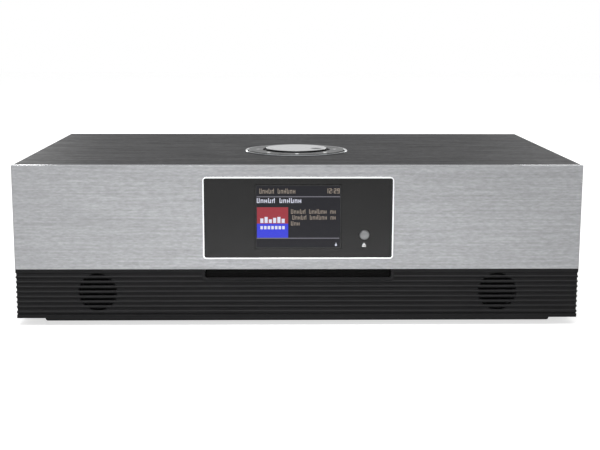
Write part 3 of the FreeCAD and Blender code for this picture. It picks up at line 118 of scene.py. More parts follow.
def embossedFoil(name, along):
    # PVC foil on fibreboard, embossed with a fine brushed grain: dark charcoal with short pale streaks
    material, tree, shader, place = startMaterial(
        name, {"Roughness": 0.5, "IOR": 1.46, "Specular IOR Level": 0.02})
    thread = [1.4, 1.4, 1.4]      # real grain is about 0.3 mm wide, drawn wider so that it shows
    thread[along] = 4
    broad = [5, 5, 5]
    broad[along] = 45
    streaks = grain(tree, place, thread, 5, 0.62)
    cloud = grain(tree, place, broad, 3, 0.6)
    total = addNode(tree, "Mix", {0: 0.5, 2: streaks, 3: cloud})
    tint(tree, shader, total.outputs[0],
         [(0.35, hexColour("2c2c2d")), (0.5, hexColour("39393a")), (0.65, hexColour("474748"))])
    tint(tree, shader, total.outputs[0], [(0.35, 0.58), (0.65, 0.46)], "Roughness")
    relief(tree, shader, streaks, 0.12, 0.5)
    return material


def brushedAluminium():
    # aluminium sheet brushed lengthwise and clear anodised: soft grey with long thin streaks,
    # and a diamond-cut edge with a clearer shine, painted a darker grey than the face as painted shade
    material, tree, shader, place = startMaterial(
        "brushedAluminium", {"Metallic": 1.0, "Roughness": 0.34, "Anisotropic": 0.6})
    # brushing spreads light up and down
    upDown = addNode(tree, "Tangent", direction_type="RADIAL", axis="X")
    tree.links.new(upDown.outputs[0], shader.inputs["Tangent"])
    # real brush lines are 0.1 mm; 1.2 mm noise draws them about 0.6 mm high so that they show
    fine = grain(tree, place, (4, 1.2, 1.2), 3, 0.6)
    long = grain(tree, place, (55, 1.2, 1.2), 2, 0.5)
    mixed = addNode(tree, "Mix", {0: 0.4, 2: fine, 3: long})
    face = addNode(tree, "ValToRGB", {"Fac": mixed.outputs[0]},
                   stops=[(0.27, hexColour("838485")), (0.5, hexColour("949597")),
                          (0.73, hexColour("a5a6a8"))])
    normal = addNode(tree, "NewGeometry").outputs["Normal"]
    towards = addNode(tree, "SeparateXYZ", {0: normal}).outputs["Y"]
    flat = addNode(tree, "Math", {0: towards, 1: -0.9}, operation="LESS_THAN").outputs[0]
    # painted shade: every surface that does not face the front, the cut edges too, gets the darker grey
    # 818385
    bevelShade = hexColour("818385")
    colour = addNode(tree, "Mix", {0: flat, 6: bevelShade, 7: face.outputs[0]}, data_type="RGBA")
    tree.links.new(colour.outputs[2], shader.inputs["Base Color"])
    rough = addNode(tree, "MapRange", {"Value": flat, "To Min": 0.2, "To Max": 0.36})
    tree.links.new(rough.outputs[0], shader.inputs["Roughness"])
    relief(tree, shader, fine, 0.03, 0.5)
    return material


def polishedMetal(name, colour, roughness, wear=0.05, size=(3, 3, 3)):
    # machined or plated metal, polished: clear reflections with faint handling marks
    material, tree, shader, place = startMaterial(
        name, {"Metallic": 1.0, "Base Color": hexColour(colour), "Roughness": roughness})
    marks = grain(tree, place, size, 4)
    smoothest = max(roughness - wear, 0.02)
    tint(tree, shader, marks, [(0.35, smoothest), (0.7, roughness + wear)], "Roughness")
    relief(tree, shader, marks, 0.004, 0.3)
    return material


def mouldedPlastic(name, dark, light, roughness, grit=0.35, depth=0.02, specular=0.5, paintedHighlight=None):
    # injection moulded plastic with a spark-eroded texture: fine even grit, soft broad highlights;
    # the optional paler colour is a painted highlight on surfaces that face up, and surfaces that face
    # down get a painted shade
    material, tree, shader, place = startMaterial(
        name, {"Roughness": roughness, "IOR": 1.5, "Specular IOR Level": specular})
    grits = grain(tree, place, (grit, grit, grit), 2)
    clouds = grain(tree, place, (30, 12, 12), 2)
    if paintedHighlight:
        body = addNode(tree, "ValToRGB", {"Fac": clouds}, stops=tones(dark, light))
        normal = addNode(tree, "NewGeometry").outputs["Normal"]
        rise = addNode(tree, "SeparateXYZ", {0: normal}).outputs["Z"]
        # painted highlight: surfaces that face up are mixed towards the paler colour, as if lit from
        # above
        upper = addNode(tree, "MapRange", {"Value": rise, "From Min": 0.1, "From Max": 0.7})
        highlightedTone = addNode(tree, "Mix", {0: upper.outputs[0], 6: body.outputs[0], 7: hexColour(paintedHighlight)},
                       data_type="RGBA")
        # painted shade: surfaces that face down are mixed towards the near-black 101011
        under = addNode(tree, "MapRange", {"Value": rise, "From Min": -0.1, "From Max": -0.7})
        shaded = addNode(tree, "Mix", {0: under.outputs[0], 6: highlightedTone.outputs[2], 7: hexColour("101011")},
                         data_type="RGBA")
        tree.links.new(shaded.outputs[2], shader.inputs["Base Color"])
    else:
        tint(tree, shader, clouds, tones(dark, light))
    tint(tree, shader, grits, [(0.3, roughness - 0.05), (0.7, roughness + 0.07)], "Roughness")
    relief(tree, shader, grits, depth, 0.6)
    return material


def turnedAluminium(centre, top):
    # knob cap turned on a lathe and satin anodised: fine rings about its axis, pale silver
    material, tree, shader, place = startMaterial(
        "turnedAluminium", {"Metallic": 1.0, "Roughness": 0.3})
    arm = addNode(tree, "VectorMath", {0: place, 1: centre}, operation="SUBTRACT")
    level = addNode(tree, "VectorMath", {0: arm.outputs[0], 1: (1, 1, 0)}, operation="MULTIPLY")
    radius = addNode(tree, "VectorMath", {0: level.outputs[0]}, operation="LENGTH").outputs["Value"]
    # real tool marks are about 0.1 mm apart, drawn 0.6 mm apart so that they show
    rings = addNode(tree, "TexNoise", {"W": radius, "Scale": 1 / (0.6 * mm), "Detail": 4.0},
                    noise_dimensions="1D").outputs["Fac"]
    face = addNode(tree, "ValToRGB", {"Fac": rings}, stops=tones("a0a1a2", "b5b6b7"))
    # the finger dimple is painted darker, a painted shade, since it sees less of the room than the flat
    # top does
    height = addNode(tree, "SeparateXYZ", {0: place}).outputs["Z"]
    brim = centre.z + top
    sunk = addNode(tree, "MapRange", {"Value": height, "From Min": brim, "From Max": brim - 0.6 * mm})
    colour = addNode(tree, "Mix", {0: sunk.outputs[0], 6: face.outputs[0], 7: hexColour("4a4b4c")},
                     data_type="RGBA")
    tree.links.new(colour.outputs[2], shader.inputs["Base Color"])
    tint(tree, shader, rings, [(0.3, 0.26), (0.7, 0.36)], "Roughness")
    relief(tree, shader, rings, 0.01, 0.4)
    return material


def metallicLacquer(name, dark, light, roughness):
    # ABS sprayed with metallic lacquer: satin grey with tiny flakes
    material, tree, shader, place = startMaterial(
        name, {"Metallic": 0.75, "Roughness": roughness, "Specular IOR Level": 0.2,
               "Specular Tint": (0.8, 0.8, 0.8, 1), "Coat Weight": 0.05, "Coat Roughness": 0.25})
    flakes = grain(tree, place, (0.3, 0.3, 0.3), 2)
    tint(tree, shader, flakes, tones(dark, light))
    relief(tree, shader, flakes, 0.006, 0.5)
    return material


def tintedAcrylic():
    # cast acrylic, back printed in dark grey: even and smooth with a soft sheen
    material, tree, shader, place = startMaterial(
        "tintedAcrylic", {"Roughness": 0.22, "IOR": 1.49, "Specular IOR Level": 0.3})
    speck = grain(tree, place, (0.5, 0.5, 0.5), 2)
    cloud = grain(tree, place, (40, 40, 25), 2)
    tint(tree, shader, cloud, tones("101010", "141414"))
    tint(tree, shader, speck, [(0.3, 0.2), (0.7, 0.26)], "Roughness")
    relief(tree, shader, cloud, 0.01, 0.1)
    return material


def litPixels(name, dim, bright):
    # lit liquid crystal cells behind glass: flat light with a fine cell pattern
    material, tree, shader, place = startMaterial(
        name, {"Base Color": hexColour("060607"), "Roughness": 0.25, "Emission Strength": 1.0,
               "Specular IOR Level": 0.18})
    # cells are 0.2 mm, drawn 0.4 mm so that they show close up
    cell = addNode(tree, "VectorMath", {0: place, 3: 1 / (0.4 * mm)}, operation="SCALE")
    part = addNode(tree, "VectorMath", {0: cell.outputs[0]}, operation="FRACTION")
    apart = addNode(tree, "SeparateXYZ", {0: part.outputs[0]})
    across = addNode(tree, "Math", {0: apart.outputs["X"], 1: 0.5, 2: 0.36}, operation="COMPARE")
    upward = addNode(tree, "Math", {0: apart.outputs["Z"], 1: 0.5, 2: 0.36}, operation="COMPARE")
    lit = addNode(tree, "Math", {0: across.outputs[0], 1: upward.outputs[0]}, operation="MULTIPLY")
    tint(tree, shader, lit.outputs[0], [(0, hexColour(dim)), (1, hexColour(bright))], "Emission Color")
    return material


def printedInk(name, colour):
    # screen printed ink: matt, slightly uneven film
    material, tree, shader, place = startMaterial(
        name, {"Roughness": 0.55, "Base Color": hexColour(colour)})
    film = grain(tree, place, (0.4, 0.4, 0.4), 2)
    tint(tree, shader, film, [(0.3, 0.48), (0.7, 0.62)], "Roughness")
    relief(tree, shader, film, 0.004, 0.5)
    return material


def fibrous(name, dark, light, size, depth, sheen):
    # felt, pressed paper or planed wood: soft fibres, no gloss
    material, tree, shader, place = startMaterial(
        name, {"Roughness": 0.95, "Specular IOR Level": 0.15, "Sheen Weight": sheen,
               "Sheen Roughness": 0.5})
    fibre = grain(tree, place, size, 5, 0.6)
    tint(tree, shader, fibre, tones(dark, light))
    relief(tree, shader, fibre, depth, 0.8)
    return material


def circuitLacquer(name, boardTop=None):
    # glass fibre board with green solder mask: copper runs show as paler lines,
    # and the parts soldered on it, above boardTop, are black epoxy and grey cans
    material, tree, shader, place = startMaterial(name, {"Roughness": 0.3, "IOR": 1.55})
    runs = addNode(tree, "TexBrick", {"Vector": place, "Scale": 1 / (8 * mm), "Mortar Size": 0.06,
                                      "Color1": hexColour("0f4a2a"), "Color2": hexColour("115230"),
                                      "Mortar": hexColour("1f7a48")})
    colour = runs.outputs["Color"]
    if boardTop is not None:
        height = addNode(tree, "SeparateXYZ", {0: place}).outputs["Z"]
        onBoard = addNode(tree, "Math", {0: height, 1: boardTop}, operation="GREATER_THAN")
        tall = addNode(tree, "MapRange", {"Value": height, "From Min": boardTop + 4 * mm,
                                          "From Max": boardTop + 5 * mm})
        epoxy = grain(tree, place, (0.4, 0.4, 0.4), 2)
        black = addNode(tree, "ValToRGB", {"Fac": epoxy}, stops=tones("141415", "1d1d1f"))
        grey = addNode(tree, "ValToRGB", {"Fac": epoxy}, stops=tones("4b4d50", "5c5e61"))
        parts = addNode(tree, "Mix", {0: tall.outputs[0], 6: black.outputs[0], 7: grey.outputs[0]},
                        data_type="RGBA")
        colour = addNode(tree, "Mix", {0: onBoard.outputs[0], 6: colour, 7: parts.outputs[2]},
                         data_type="RGBA").outputs[2]
    tree.links.new(colour, shader.inputs["Base Color"])
    relief(tree, shader, runs.outputs["Fac"], 0.03, 0.5)
    return material


ringCentre = (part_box("ring_trim")[0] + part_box("ring_trim")[1]) / 2
foilTop = embossedFoil("embossedFoilTop", 0)
foilSide = embossedFoil("embossedFoilSide", 1)
fascia = brushedAluminium()
trimPolish = polishedMetal("polishedAluminium", "f1f2f4", 0.16)
darkChrome = polishedMetal("blackChromePlatedAbs", "7c7e80", 0.16)
steel = polishedMetal("brightSteel", "b9babb", 0.3, 0.08, (6, 0.5, 0.5))
nickel = polishedMetal("nickelPlatedBrass", "a9a69f", 0.22, 0.06)
zincSheet = polishedMetal("zincPlatedSheet", "a9adb0", 0.42, 0.12, (9, 9, 9))
blackZinc = polishedMetal("blackZincScrew", "2c2c2e", 0.38, 0.1, (1, 1, 1))
baseAbs = mouldedPlastic("mouldedAbsBase", "1e1e1f", "222223", 0.5, specular=0.1, paintedHighlight="2e2e2f")
panelAbs = mouldedPlastic("mouldedAbsRear", "202022", "262628", 0.55, 0.5, 0.05)
innerAbs = mouldedPlastic("mouldedAbsInner", "111112", "151516", 0.6)
socketNylon = mouldedPlastic("mouldedNylonSocket", "141415", "1a1a1b", 0.45, 0.3)
whiteInsert = mouldedPlastic("mouldedNylonWhite", "d8d6cf", "e2e0da", 0.4, 0.3)
redInsert = mouldedPlastic("mouldedNylonRed", "a3161a", "b41c20", 0.4, 0.3)
footRubber = mouldedPlastic("mouldedRubberFoot", "1b1b1b", "222222", 0.8, 0.6, 0.06, 0.3)
rollRubber = mouldedPlastic("mouldedRubberRoll", "161616", "1c1c1c", 0.7, 0.4, 0.03, 0.3)
ferrite = mouldedPlastic("sinteredFerrite", "2c2c30", "38383c", 0.7, 0.5, 0.05)
knobMetal = turnedAluminium(ringCentre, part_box("knob_cap")[1].z - ringCentre.z)
knobBlack = mouldedPlastic("mouldedAbsKnob", "0b0b0b", "0f0f10", 0.6, specular=0.15)
keyLacquer = metallicLacquer("keyLacquer", "4b4c4d", "565758", 0.42)
buttonLacquer = metallicLacquer("buttonLacquer", "727374", "828384", 0.45)
acrylic = tintedAcrylic()
feltBlack = fibrous("pressedFelt", "0c0c0c", "1c1c1c", (0.4, 0.4, 0.8), 0.2, 0.3)
paperCone = fibrous("pressedPaperCone", "151515", "242424", (1.2, 1.2, 1.2), 0.1, 0.0)
spruce = fibrous("planedSpruce", "b08a58", "d0ad7a", (2, 2, 60), 0.1, 0.0)
circuit = circuitLacquer("solderMask")
boardThick = 1.65 * mm
mainCircuit = circuitLacquer("solderMaskMain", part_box("main_board")[0].z + boardThick)
supplyCircuit = circuitLacquer("solderMaskSupply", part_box("power_supply_board")[0].z + boardThick)
whiteInk = printedInk("whiteScreenInk", "f4f4f4")
keyInk = printedInk("keyScreenInk", "e8e8e8")
# near-black band that is painted shade round the display field
borderShade = printedInk("blackBorderShade", "070708")
curtainFelt = fibrous("needledFelt", "0c0c0c", "151515", (0.4, 0.4, 0.8), 0.15, 0.0)
studWhite = mouldedPlastic("mouldedAbsStud", "dcdcdc", "e4e4e4", 0.4, 0.3)

nodeFinish = {
    "cabinet_top_board": foilTop, "cabinet_left_board": foilSide, "cabinet_right_board": foilSide,
    "front_fascia": fascia, "window_trim": trimPolish, "display_lens": acrylic,
    "front_carrier": innerAbs, "display_bracket": innerAbs, "tft_panel": innerAbs,
    "display_board": circuit, "eject_button": buttonLacquer, "ribbed_skirt": baseAbs,
    "bottom_tray": baseAbs, "rear_panel": panelAbs, "rear_battens": spruce,
    "case_screws": blackZinc, "ring_trim": darkChrome, "control_pod": innerAbs,
    "control_board": circuit, "tact_switches": socketNylon, "encoder_body": zincSheet,
    "encoder_slider": steel, "encoder_shaft": steel, "knob_core": knobBlack,
    "knob_cap": knobMetal, "cd_chassis": zincSheet, "cd_cover": zincSheet, "cd_roller": rollRubber,
    "cd_spindle_motor": zincSheet, "cd_turntable": innerAbs, "cd_laser_sled": socketNylon,
    "cd_guide_rods": steel, "slot_lips": feltBlack, "main_board": mainCircuit,
    "power_supply_board": supplyCircuit, "line_sockets": nickel, "jack_sockets": socketNylon,
    "antenna_socket": nickel, "mains_inlet": socketNylon, "rubber_feet": footRubber,
}
for name in keyNames:
    nodeFinish["key_" + name] = keyLacquer
for driver in ("left_driver", "right_driver", "sub"):
    nodeFinish[driver + "_frame"] = zincSheet if driver == "sub" else innerAbs
    nodeFinish[driver + "_magnet"] = ferrite
    nodeFinish[driver + "_cone"] = paperCone
    nodeFinish[driver + "_surround"] = rollRubber
for name, material in nodeFinish.items():
    mesh = nodes[name].data
    mesh.materials.clear()
    mesh.materials.append(material)
print("materials on", len(nodeFinish), "nodes")


# ---- mesh helpers

def meshPiece(name, mesh, material, body, smooth=False):
    piece = bpy.data.objects.new(name, mesh)
    bpy.context.scene.collection.objects.link(piece)
    mesh.materials.append(material)
    for polygon in mesh.polygons:
        polygon.use_smooth = smooth
    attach(piece, body)
    return piece


def slabs(name, outlines, matrix, thick, material, body):
    # flat shapes drawn in millimetres, x right and y up, raised by thick and set down by matrix
    work = bmesh.new()
    for points in outlines:
        base = [work.verts.new((x * mm, y * mm, 0)) for x, y in points]
        face = work.faces.new(base)
        raised = bmesh.ops.extrude_face_region(work, geom=[face])
        lift = [v for v in raised["geom"] if isinstance(v, bmesh.types.BMVert)]
        bmesh.ops.translate(work, verts=lift, vec=(0, 0, thick * mm))
    bmesh.ops.recalc_face_normals(work, faces=work.faces)
    work.transform(matrix)
    mesh = bpy.data.meshes.new(name)
    work.to_mesh(mesh)
    work.free()
    return meshPiece(name, mesh, material, body)


def bar(x, y, width, height):
    return [(x, y), (x + width, y), (x + width, y + height), (x, y + height)]


def roundedBar(x, y, width, height, radius, steps=5):
    points = []
    corners = ((x + width - radius, y + radius, -90), (x + width - radius, y + height - radius, 0),
               (x + radius, y + height - radius, 90), (x + radius, y + radius, 180))
    for cx, cy, start in corners:
        for i in range(steps + 1):
            angle = math.radians(start + 90 * i / steps)
            points.append((cx + radius * math.cos(angle), cy + radius * math.sin(angle)))
    return points


def arcBand(inner, outer, start, end, steps=20):
    angles = [math.radians(start + (end - start) * i / steps) for i in range(steps + 1)]
    points = [(outer * math.cos(a), outer * math.sin(a)) for a in angles]
    points += [(inner * math.cos(a), inner * math.sin(a)) for a in reversed(angles)]
    return points


def turnedMesh(name, profile, start, steps=48, along="Y"):
    # profile of (radius, distance) in millimetres turned about an axis through start
    work = bmesh.new()
    rows = []
    for i in range(steps):
        angle = 2 * math.pi * i / steps
        row = []
        for radius, far in profile:
            a, b = radius * math.cos(angle) * mm, radius * math.sin(angle) * mm
            point = Vector((a, far * mm, b)) if along == "Y" else Vector((a, b, far * mm))
            row.append(work.verts.new(point + start))
        rows.append(row)
    for i in range(steps):
        this, following = rows[i], rows[(i + 1) % steps]
        for j in range(len(profile) - 1):
            work.faces.new((this[j], this[j + 1], following[j + 1], following[j]))
    bmesh.ops.remove_doubles(work, verts=work.verts, dist=1e-7)
    bmesh.ops.recalc_face_normals(work, faces=work.faces)
    mesh = bpy.data.meshes.new(name)
    work.to_mesh(mesh)
    work.free()
    return mesh


def joinMeshes(name, meshes):
    work = bmesh.new()
    for mesh in meshes:
        work.from_mesh(mesh)
    joined = bpy.data.meshes.new(name)
    work.to_mesh(joined)
    work.free()
    joined.materials.clear()
    return joined


# ---- display: lit picture in the lens's sunk field, measured from its top left corner

display = {
    "width": 63.0, "height": 47.0,
    "fromTop": 15.1,              # below the fascia's top edge
    "sunk": 0.8,                  # depth of the field in the lens
    "picture": 0.1, "stroke": 0.02, "border": 0.45,
    "ruleHigh": 0.62, "rules": ((0.7, -8.8, 61.6), (0.7, -39.9, 61.2)),    # x, y, width
    # a line of writing is x, y, width, height, letters
    "header": (2.8, -6.1, 29.3, 3.7, 13),
    "clock": ("12:29", 51.8, -6.0, 10.8, 3.7),         # the time, then x, y, width, height
    "tanLines": ((26.1, -21.2, 33.6, 3.4, 15), (27.1, -25.6, 32.6, 3.4, 15),
                 (26.1, -30.0, 7.0, 3.2, 3)),
    "whiteLine": (0.9, -13.1, 36.3, 3.6, 13),
    "dot": (58.8, -45.5, 1.5, 1.5, 0.7), "dash": (59.2, -43.7, 0.7, 0.6),
}
tile = {
    "left": 0.9, "top": 16.3, "foot": 39.2, "side": 23.1,
    "split": 12.3,                # height of the red part, blue below
    "marksLeft": 3.4,
    "levels": (0.75, 1.0, 0.6, 0.85, 1.0, 0.7), "levelHigh": 4.5,
    "levelFoot": -28.1, "levelWide": 2.3, "levelPitch": 3.15,
    "rowCount": 7, "rowFoot": -32.8, "rowWide": 1.9, "rowHigh": 2.4, "rowPitch": 2.7,
}
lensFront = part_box("display_lens")[0].y
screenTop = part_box("front_fascia")[1].z - display["fromTop"] * mm
wellFloor = lensFront + display["sunk"] * mm
fieldCorner = Vector((-display["width"] / 2 * mm, wellFloor, screenTop))
# x right, y up and z towards the viewer
facing = Matrix(((1, 0, 0), (0, 0, -1), (0, 1, 0))).to_4x4()
fieldPlace = Matrix.Translation(fieldCorner) @ facing
inkPlace = Matrix.Translation(fieldCorner - Vector((0, display["picture"] * mm, 0))) @ facing
tileTop = Matrix.Translation(Vector((0, -display["stroke"] * mm, 0))) @ inkPlace

# shares of a letter's pitch and height, and of a figure's
letter = {"stem": 0.2, "second": 0.52, "small": 0.72, "cross": 0.14, "levels": (0.0, 0.56, 0.3)}
figure = {"bar": 0.15, "wide": 0.74, "colonWide": 0.45, "colonSaves": 0.55, "dots": (0.2, 0.62)}


def wordStrokes(x, y, width, height, letters):
    # a line of writing reduced to stems and cross bars, so that no word can be read
    strokes = []
    pitch = width / letters
    stem = pitch * letter["stem"]
    for i in range(letters):
        if i % 7 == 5:
            continue                                   # space between two words
        left = x + i * pitch
        tall = height if i % 3 == 0 else height * letter["small"]
        strokes.append(bar(left, y, stem, tall))
        second = height * (letter["small"] if i % 4 else 1.0)
        strokes.append(bar(left + pitch * letter["second"], y, stem, second))
        level = letter["levels"][i % 3] * height
        strokes.append(bar(left + stem, level + y, pitch * letter["second"] - stem,
                           height * letter["cross"]))
    return strokes


def clockDigits(text, x, y, width, height):
    # plain seven-bar figures of the time
    lit = {"0": "abcdef", "1": "bc", "2": "abged", "3": "abgcd", "4": "fgbc", "5": "afgcd",
           "6": "afgedc", "7": "abc", "8": "abcdefg", "9": "abcdfg"}
    t = height * figure["bar"]
    strokes = []
    pitch = width / (len(text) - figure["colonSaves"])
    left = x
    for sign in text:
        if sign == ":":
            strokes += [bar(left, y + height * share, t, t) for share in figure["dots"]]
            left += pitch * figure["colonWide"]
            continue
        w = pitch * figure["wide"]
        half = height / 2
        sides = {"a": (0, height - t, w, t), "b": (w - t, half, t, half), "c": (w - t, 0, t, half),
                 "d": (0, 0, w, t), "e": (0, 0, t, half), "f": (0, half, t, half),
                 "g": (0, half - t / 2, w, t)}
        for side in lit[sign]:
            dx, dy, wide, high = sides[side]
            strokes.append(bar(left + dx, y + dy, wide, high))
        left += pitch
    return strokes


def drawPicture(name, outlines, finish, place=inkPlace, thick=display["stroke"]):
    # everything of one colour in the picture
    slabs(name, outlines, place, thick, finish, "radio_case")


fieldGlow = litPixels("displayField", "141419", "1c1c23")
paleGlow = litPixels("displayRule", "6c6b74", "84838c")
tanGlow = litPixels("displayTan", "857a6e", "a3968a")
whiteGlow = litPixels("displayWhite", "c8cbe0", "f0f2ff")
redGlow = litPixels("displayRed", "8a2f36", "a83843")
blueGlow = litPixels("displayBlue", "3239c4", "3e47ea")

edge, wide, high = display["border"], display["width"], display["height"]
drawPicture("displayField", [bar(0, -high, wide, high)], fieldGlow, fieldPlace, display["picture"])
# painted shade: a thin near-black band round the display field stands for the shade along the edge of
# the sunk well
drawPicture("displayBorderShade", [bar(0, -edge, wide, edge), bar(0, -high, wide, edge),
                              bar(0, edge - high, edge, high - 2 * edge),
                              bar(wide - edge, edge - high, edge, high - 2 * edge)], borderShade)
drawPicture("displayRules", [bar(*rule, display["ruleHigh"]) for rule in display["rules"]], paleGlow)
drawPicture("displayTileRed", [bar(tile["left"], -tile["top"] - tile["split"], tile["side"],
                                   tile["split"])], redGlow)
drawPicture("displayTileBlue", [bar(tile["left"], -tile["foot"], tile["side"],
                                    tile["foot"] - tile["top"] - tile["split"])], blueGlow)
tanStrokes = wordStrokes(*display["header"]) + clockDigits(*display["clock"])
for line in display["tanLines"]:
    tanStrokes += wordStrokes(*line)
drawPicture("displayTanStrokes", tanStrokes, tanGlow)
whiteStrokes = wordStrokes(*display["whiteLine"])
whiteStrokes += [roundedBar(*display["dot"]), bar(*display["dash"])]
drawPicture("displayWhiteStrokes", whiteStrokes, whiteGlow)
tileMarks = [bar(tile["marksLeft"] + i * tile["levelPitch"], tile["levelFoot"], tile["levelWide"],
                 tile["levelHigh"] * level) for i, level in enumerate(tile["levels"])]
tileMarks += [bar(tile["marksLeft"] + i * tile["rowPitch"], tile["rowFoot"], tile["rowWide"],
                  tile["rowHigh"]) for i in range(tile["rowCount"])]
drawPicture("displayTileMarks", tileMarks, whiteGlow, tileTop)
print("display drawn")

# ---- printed marks on the lens and the keys

ejectMark = {"across": 48.85, "foot": 59.95, "width": 3.0, "bar": 1.0, "gap": 0.35, "rise": 1.75,
             "film": 0.02}
lensPlace = Matrix.Translation(Vector((0, lensFront, 0))) @ facing
left = ejectMark["across"] - ejectMark["width"] / 2
right = ejectMark["across"] + ejectMark["width"] / 2
roof = ejectMark["foot"] + ejectMark["bar"] + ejectMark["gap"]
slabs("ejectMark", [bar(left, ejectMark["foot"], ejectMark["width"], ejectMark["bar"]),
                    [(left, roof), (right, roof), (ejectMark["across"], roof + ejectMark["rise"])]],
      lensPlace, ejectMark["film"], whiteInk, "radio_case")

keyMark = {"radius": 31.2, "size": 2.2, "film": 0.03}
# raised white dots on the three front keys; turns are degrees from the front
keyStud = {"radius": 37.2, "across": 2.8, "high": 0.6, "steps": 24,
           "turns": {"front": 0, "front_right": 37, "front_left": -37}}


def pointer(x, way, size):
    return [(x, -size / 2), (x + way * size * 0.8, 0), (x, size / 2)][::way]


size = keyMark["size"]
keyShapes = {
    "front": [pointer(-size * 0.75, 1, size), bar(size * 0.2, -size / 2, size * 0.22, size),
              bar(size * 0.6, -size / 2, size * 0.22, size)],
    "front_right": [pointer(-size * 0.8, 1, size), pointer(0, 1, size),
                    bar(size * 0.8, -size / 2, size * 0.2, size)],
    "front_left": [pointer(size * 0.8, -1, size), pointer(0, -1, size),
                   bar(-size, -size / 2, size * 0.2, size)],
    "right": [bar(-size / 2, -size / 2, size, size)],
    "left": [bar(-size * 0.6, level, size * 1.2, size * 0.2)
             for level in (-size / 2, -size * 0.1, size * 0.3)],
    "back": [arcBand(size * 0.4, size * 0.58, 125, 415),
             bar(-size * 0.1, size * 0.1, size * 0.2, size * 0.55)],
    "back_left": [arcBand(size * 0.38, size * 0.56, 0, 270), pointer(-size * 0.05, 1, size * 0.55)],
    "back_right": [arcBand(size * 0.42, size * 0.6, 0, 359.9),
                   bar(-size * 0.14, -size * 0.14, size * 0.28, size * 0.28)],
}
for i, name in enumerate(keyNames):
    turn = Matrix.Rotation(math.radians(45 * i), 4, "Z")
    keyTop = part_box("key_" + name)[1].z
    seat = Matrix.Translation(Vector((ringCentre.x, ringCentre.y, keyTop)))
    out = Matrix.Translation(Vector((0, -keyMark["radius"] * mm, 0)))
    slabs("keyMark_" + name, keyShapes[name], seat @ turn @ out, keyMark["film"], keyInk,
          "key_" + name)
    if name in keyStud["turns"]:
        r, h = keyStud["across"] / 2, keyStud["high"]
        dome = [(0.0, h), (r * 0.4, h * 0.95), (r * 0.75, h * 0.72), (r * 0.95, h * 0.36), (r, 0.0),
                (0.0, 0.0)]
        swing = Matrix.Rotation(math.radians(keyStud["turns"][name]), 4, "Z")
        foot = seat @ swing @ Vector((0, -keyStud["radius"] * mm, 0))
        stud = turnedMesh("keyStud_" + name, dome, foot, keyStud["steps"], "Z")
        meshPiece("keyStud_" + name, stud, studWhite, "key_" + name, True)
print("marks printed")

# ---- disc mouth: two felt flaps that a disc parts, and the rounded lower corners

mouth = {"left": -69.4, "right": 69.4, "low": 36.32, "high": 42.82,
         "corner": 1.8, "cornerBack": -118.35, "cornerThick": 3.25}
flap = {
    "root": -118.23, "thick": 0.65, "bow": 0.35, "across": 90, "rows": 6,
    "clear": 0.1,                 # from the mouth's edges
    "upperEnd": 39.3, "lowerEnd": 39.8, "lowerBehind": 0.3,
    # height, radians per millimetre and first angle of each wave in the uneven edge
    "waves": ((0.09, 0.8, 0), (0.06, 2.1, 1)),
}


def feltFlap(name, start, free, behind):
    # sheet from its glued root to a free edge that is a little uneven
    work = bmesh.new()
    grid = []
    for i in range(flap["across"] + 1):
        span = mouth["right"] - mouth["left"] - 2 * flap["clear"]
        x = mouth["left"] + flap["clear"] + span * i / flap["across"]
        tip = free
        for high, often, phase in flap["waves"]:
            tip += high * math.sin(x * often + phase)
        column = []
        for j in range(flap["rows"] + 1):
            t = j / flap["rows"]
            y = flap["root"] + behind - flap["thick"] / 2 - flap["bow"] * math.sin(math.pi * t / 2)
            column.append(work.verts.new((x * mm, y * mm, (start + (tip - start) * t) * mm)))
        grid.append(column)
    for this, following in zip(grid, grid[1:]):
        for j in range(flap["rows"]):
            work.faces.new((this[j], following[j], following[j + 1], this[j + 1]))
    mesh = bpy.data.meshes.new(name)
    work.to_mesh(mesh)
    work.free()
    piece = meshPiece(name, mesh, curtainFelt, "radio_case", True)
    body = piece.modifiers.new("body", "SOLIDIFY")
    body.thickness, body.offset = flap["thick"] * mm, 0.0


feltFlap("dustFlapUpper", mouth["high"] - flap["clear"], flap["upperEnd"], 0.0)
feltFlap("dustFlapLower", mouth["low"] + flap["clear"], flap["lowerEnd"], flap["lowerBehind"])
fillets = []
for side in (-1, 1):
    edge = mouth["left"] if side < 0 else mouth["right"]
    r = mouth["corner"]
    curve = []
    for degrees in range(0, 91, 10):
        a = math.radians(degrees)
        curve.append((edge - side * r + side * r * math.sin(a), mouth["low"] + r - r * math.cos(a)))
    fillets.append([(edge, mouth["low"])] + curve)
cornerPlace = Matrix.Translation((0, mouth["cornerBack"] * mm, 0)) @ facing
slabs("mouthCorners", fillets, cornerPlace, mouth["cornerThick"], baseAbs, "radio_case")
print("disc mouth lined")

# ---- rear: pan head screws, phono shells, threaded antenna socket, jack bushings

screw = {
    "radius": 3.0, "high": 1.9, "slotLong": 3.4, "slotWide": 0.75, "slotDeep": 1.0, "steps": 32,
    "fromSide": 7, "fromEnd": 10,                       # from a batten's side and end
    "firstTurn": 17, "sideTurn": 31, "rowTurn": 47,     # degrees, so that no two stand alike
}
battenLow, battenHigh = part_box("rear_battens")
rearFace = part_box("rear_panel")[1].y
sideInner = battenHigh.x - screw["fromSide"] * mm
middle = (battenLow.z + battenHigh.z) / 2
reach = (battenHigh.z - battenLow.z) / 2 - screw["fromEnd"] * mm


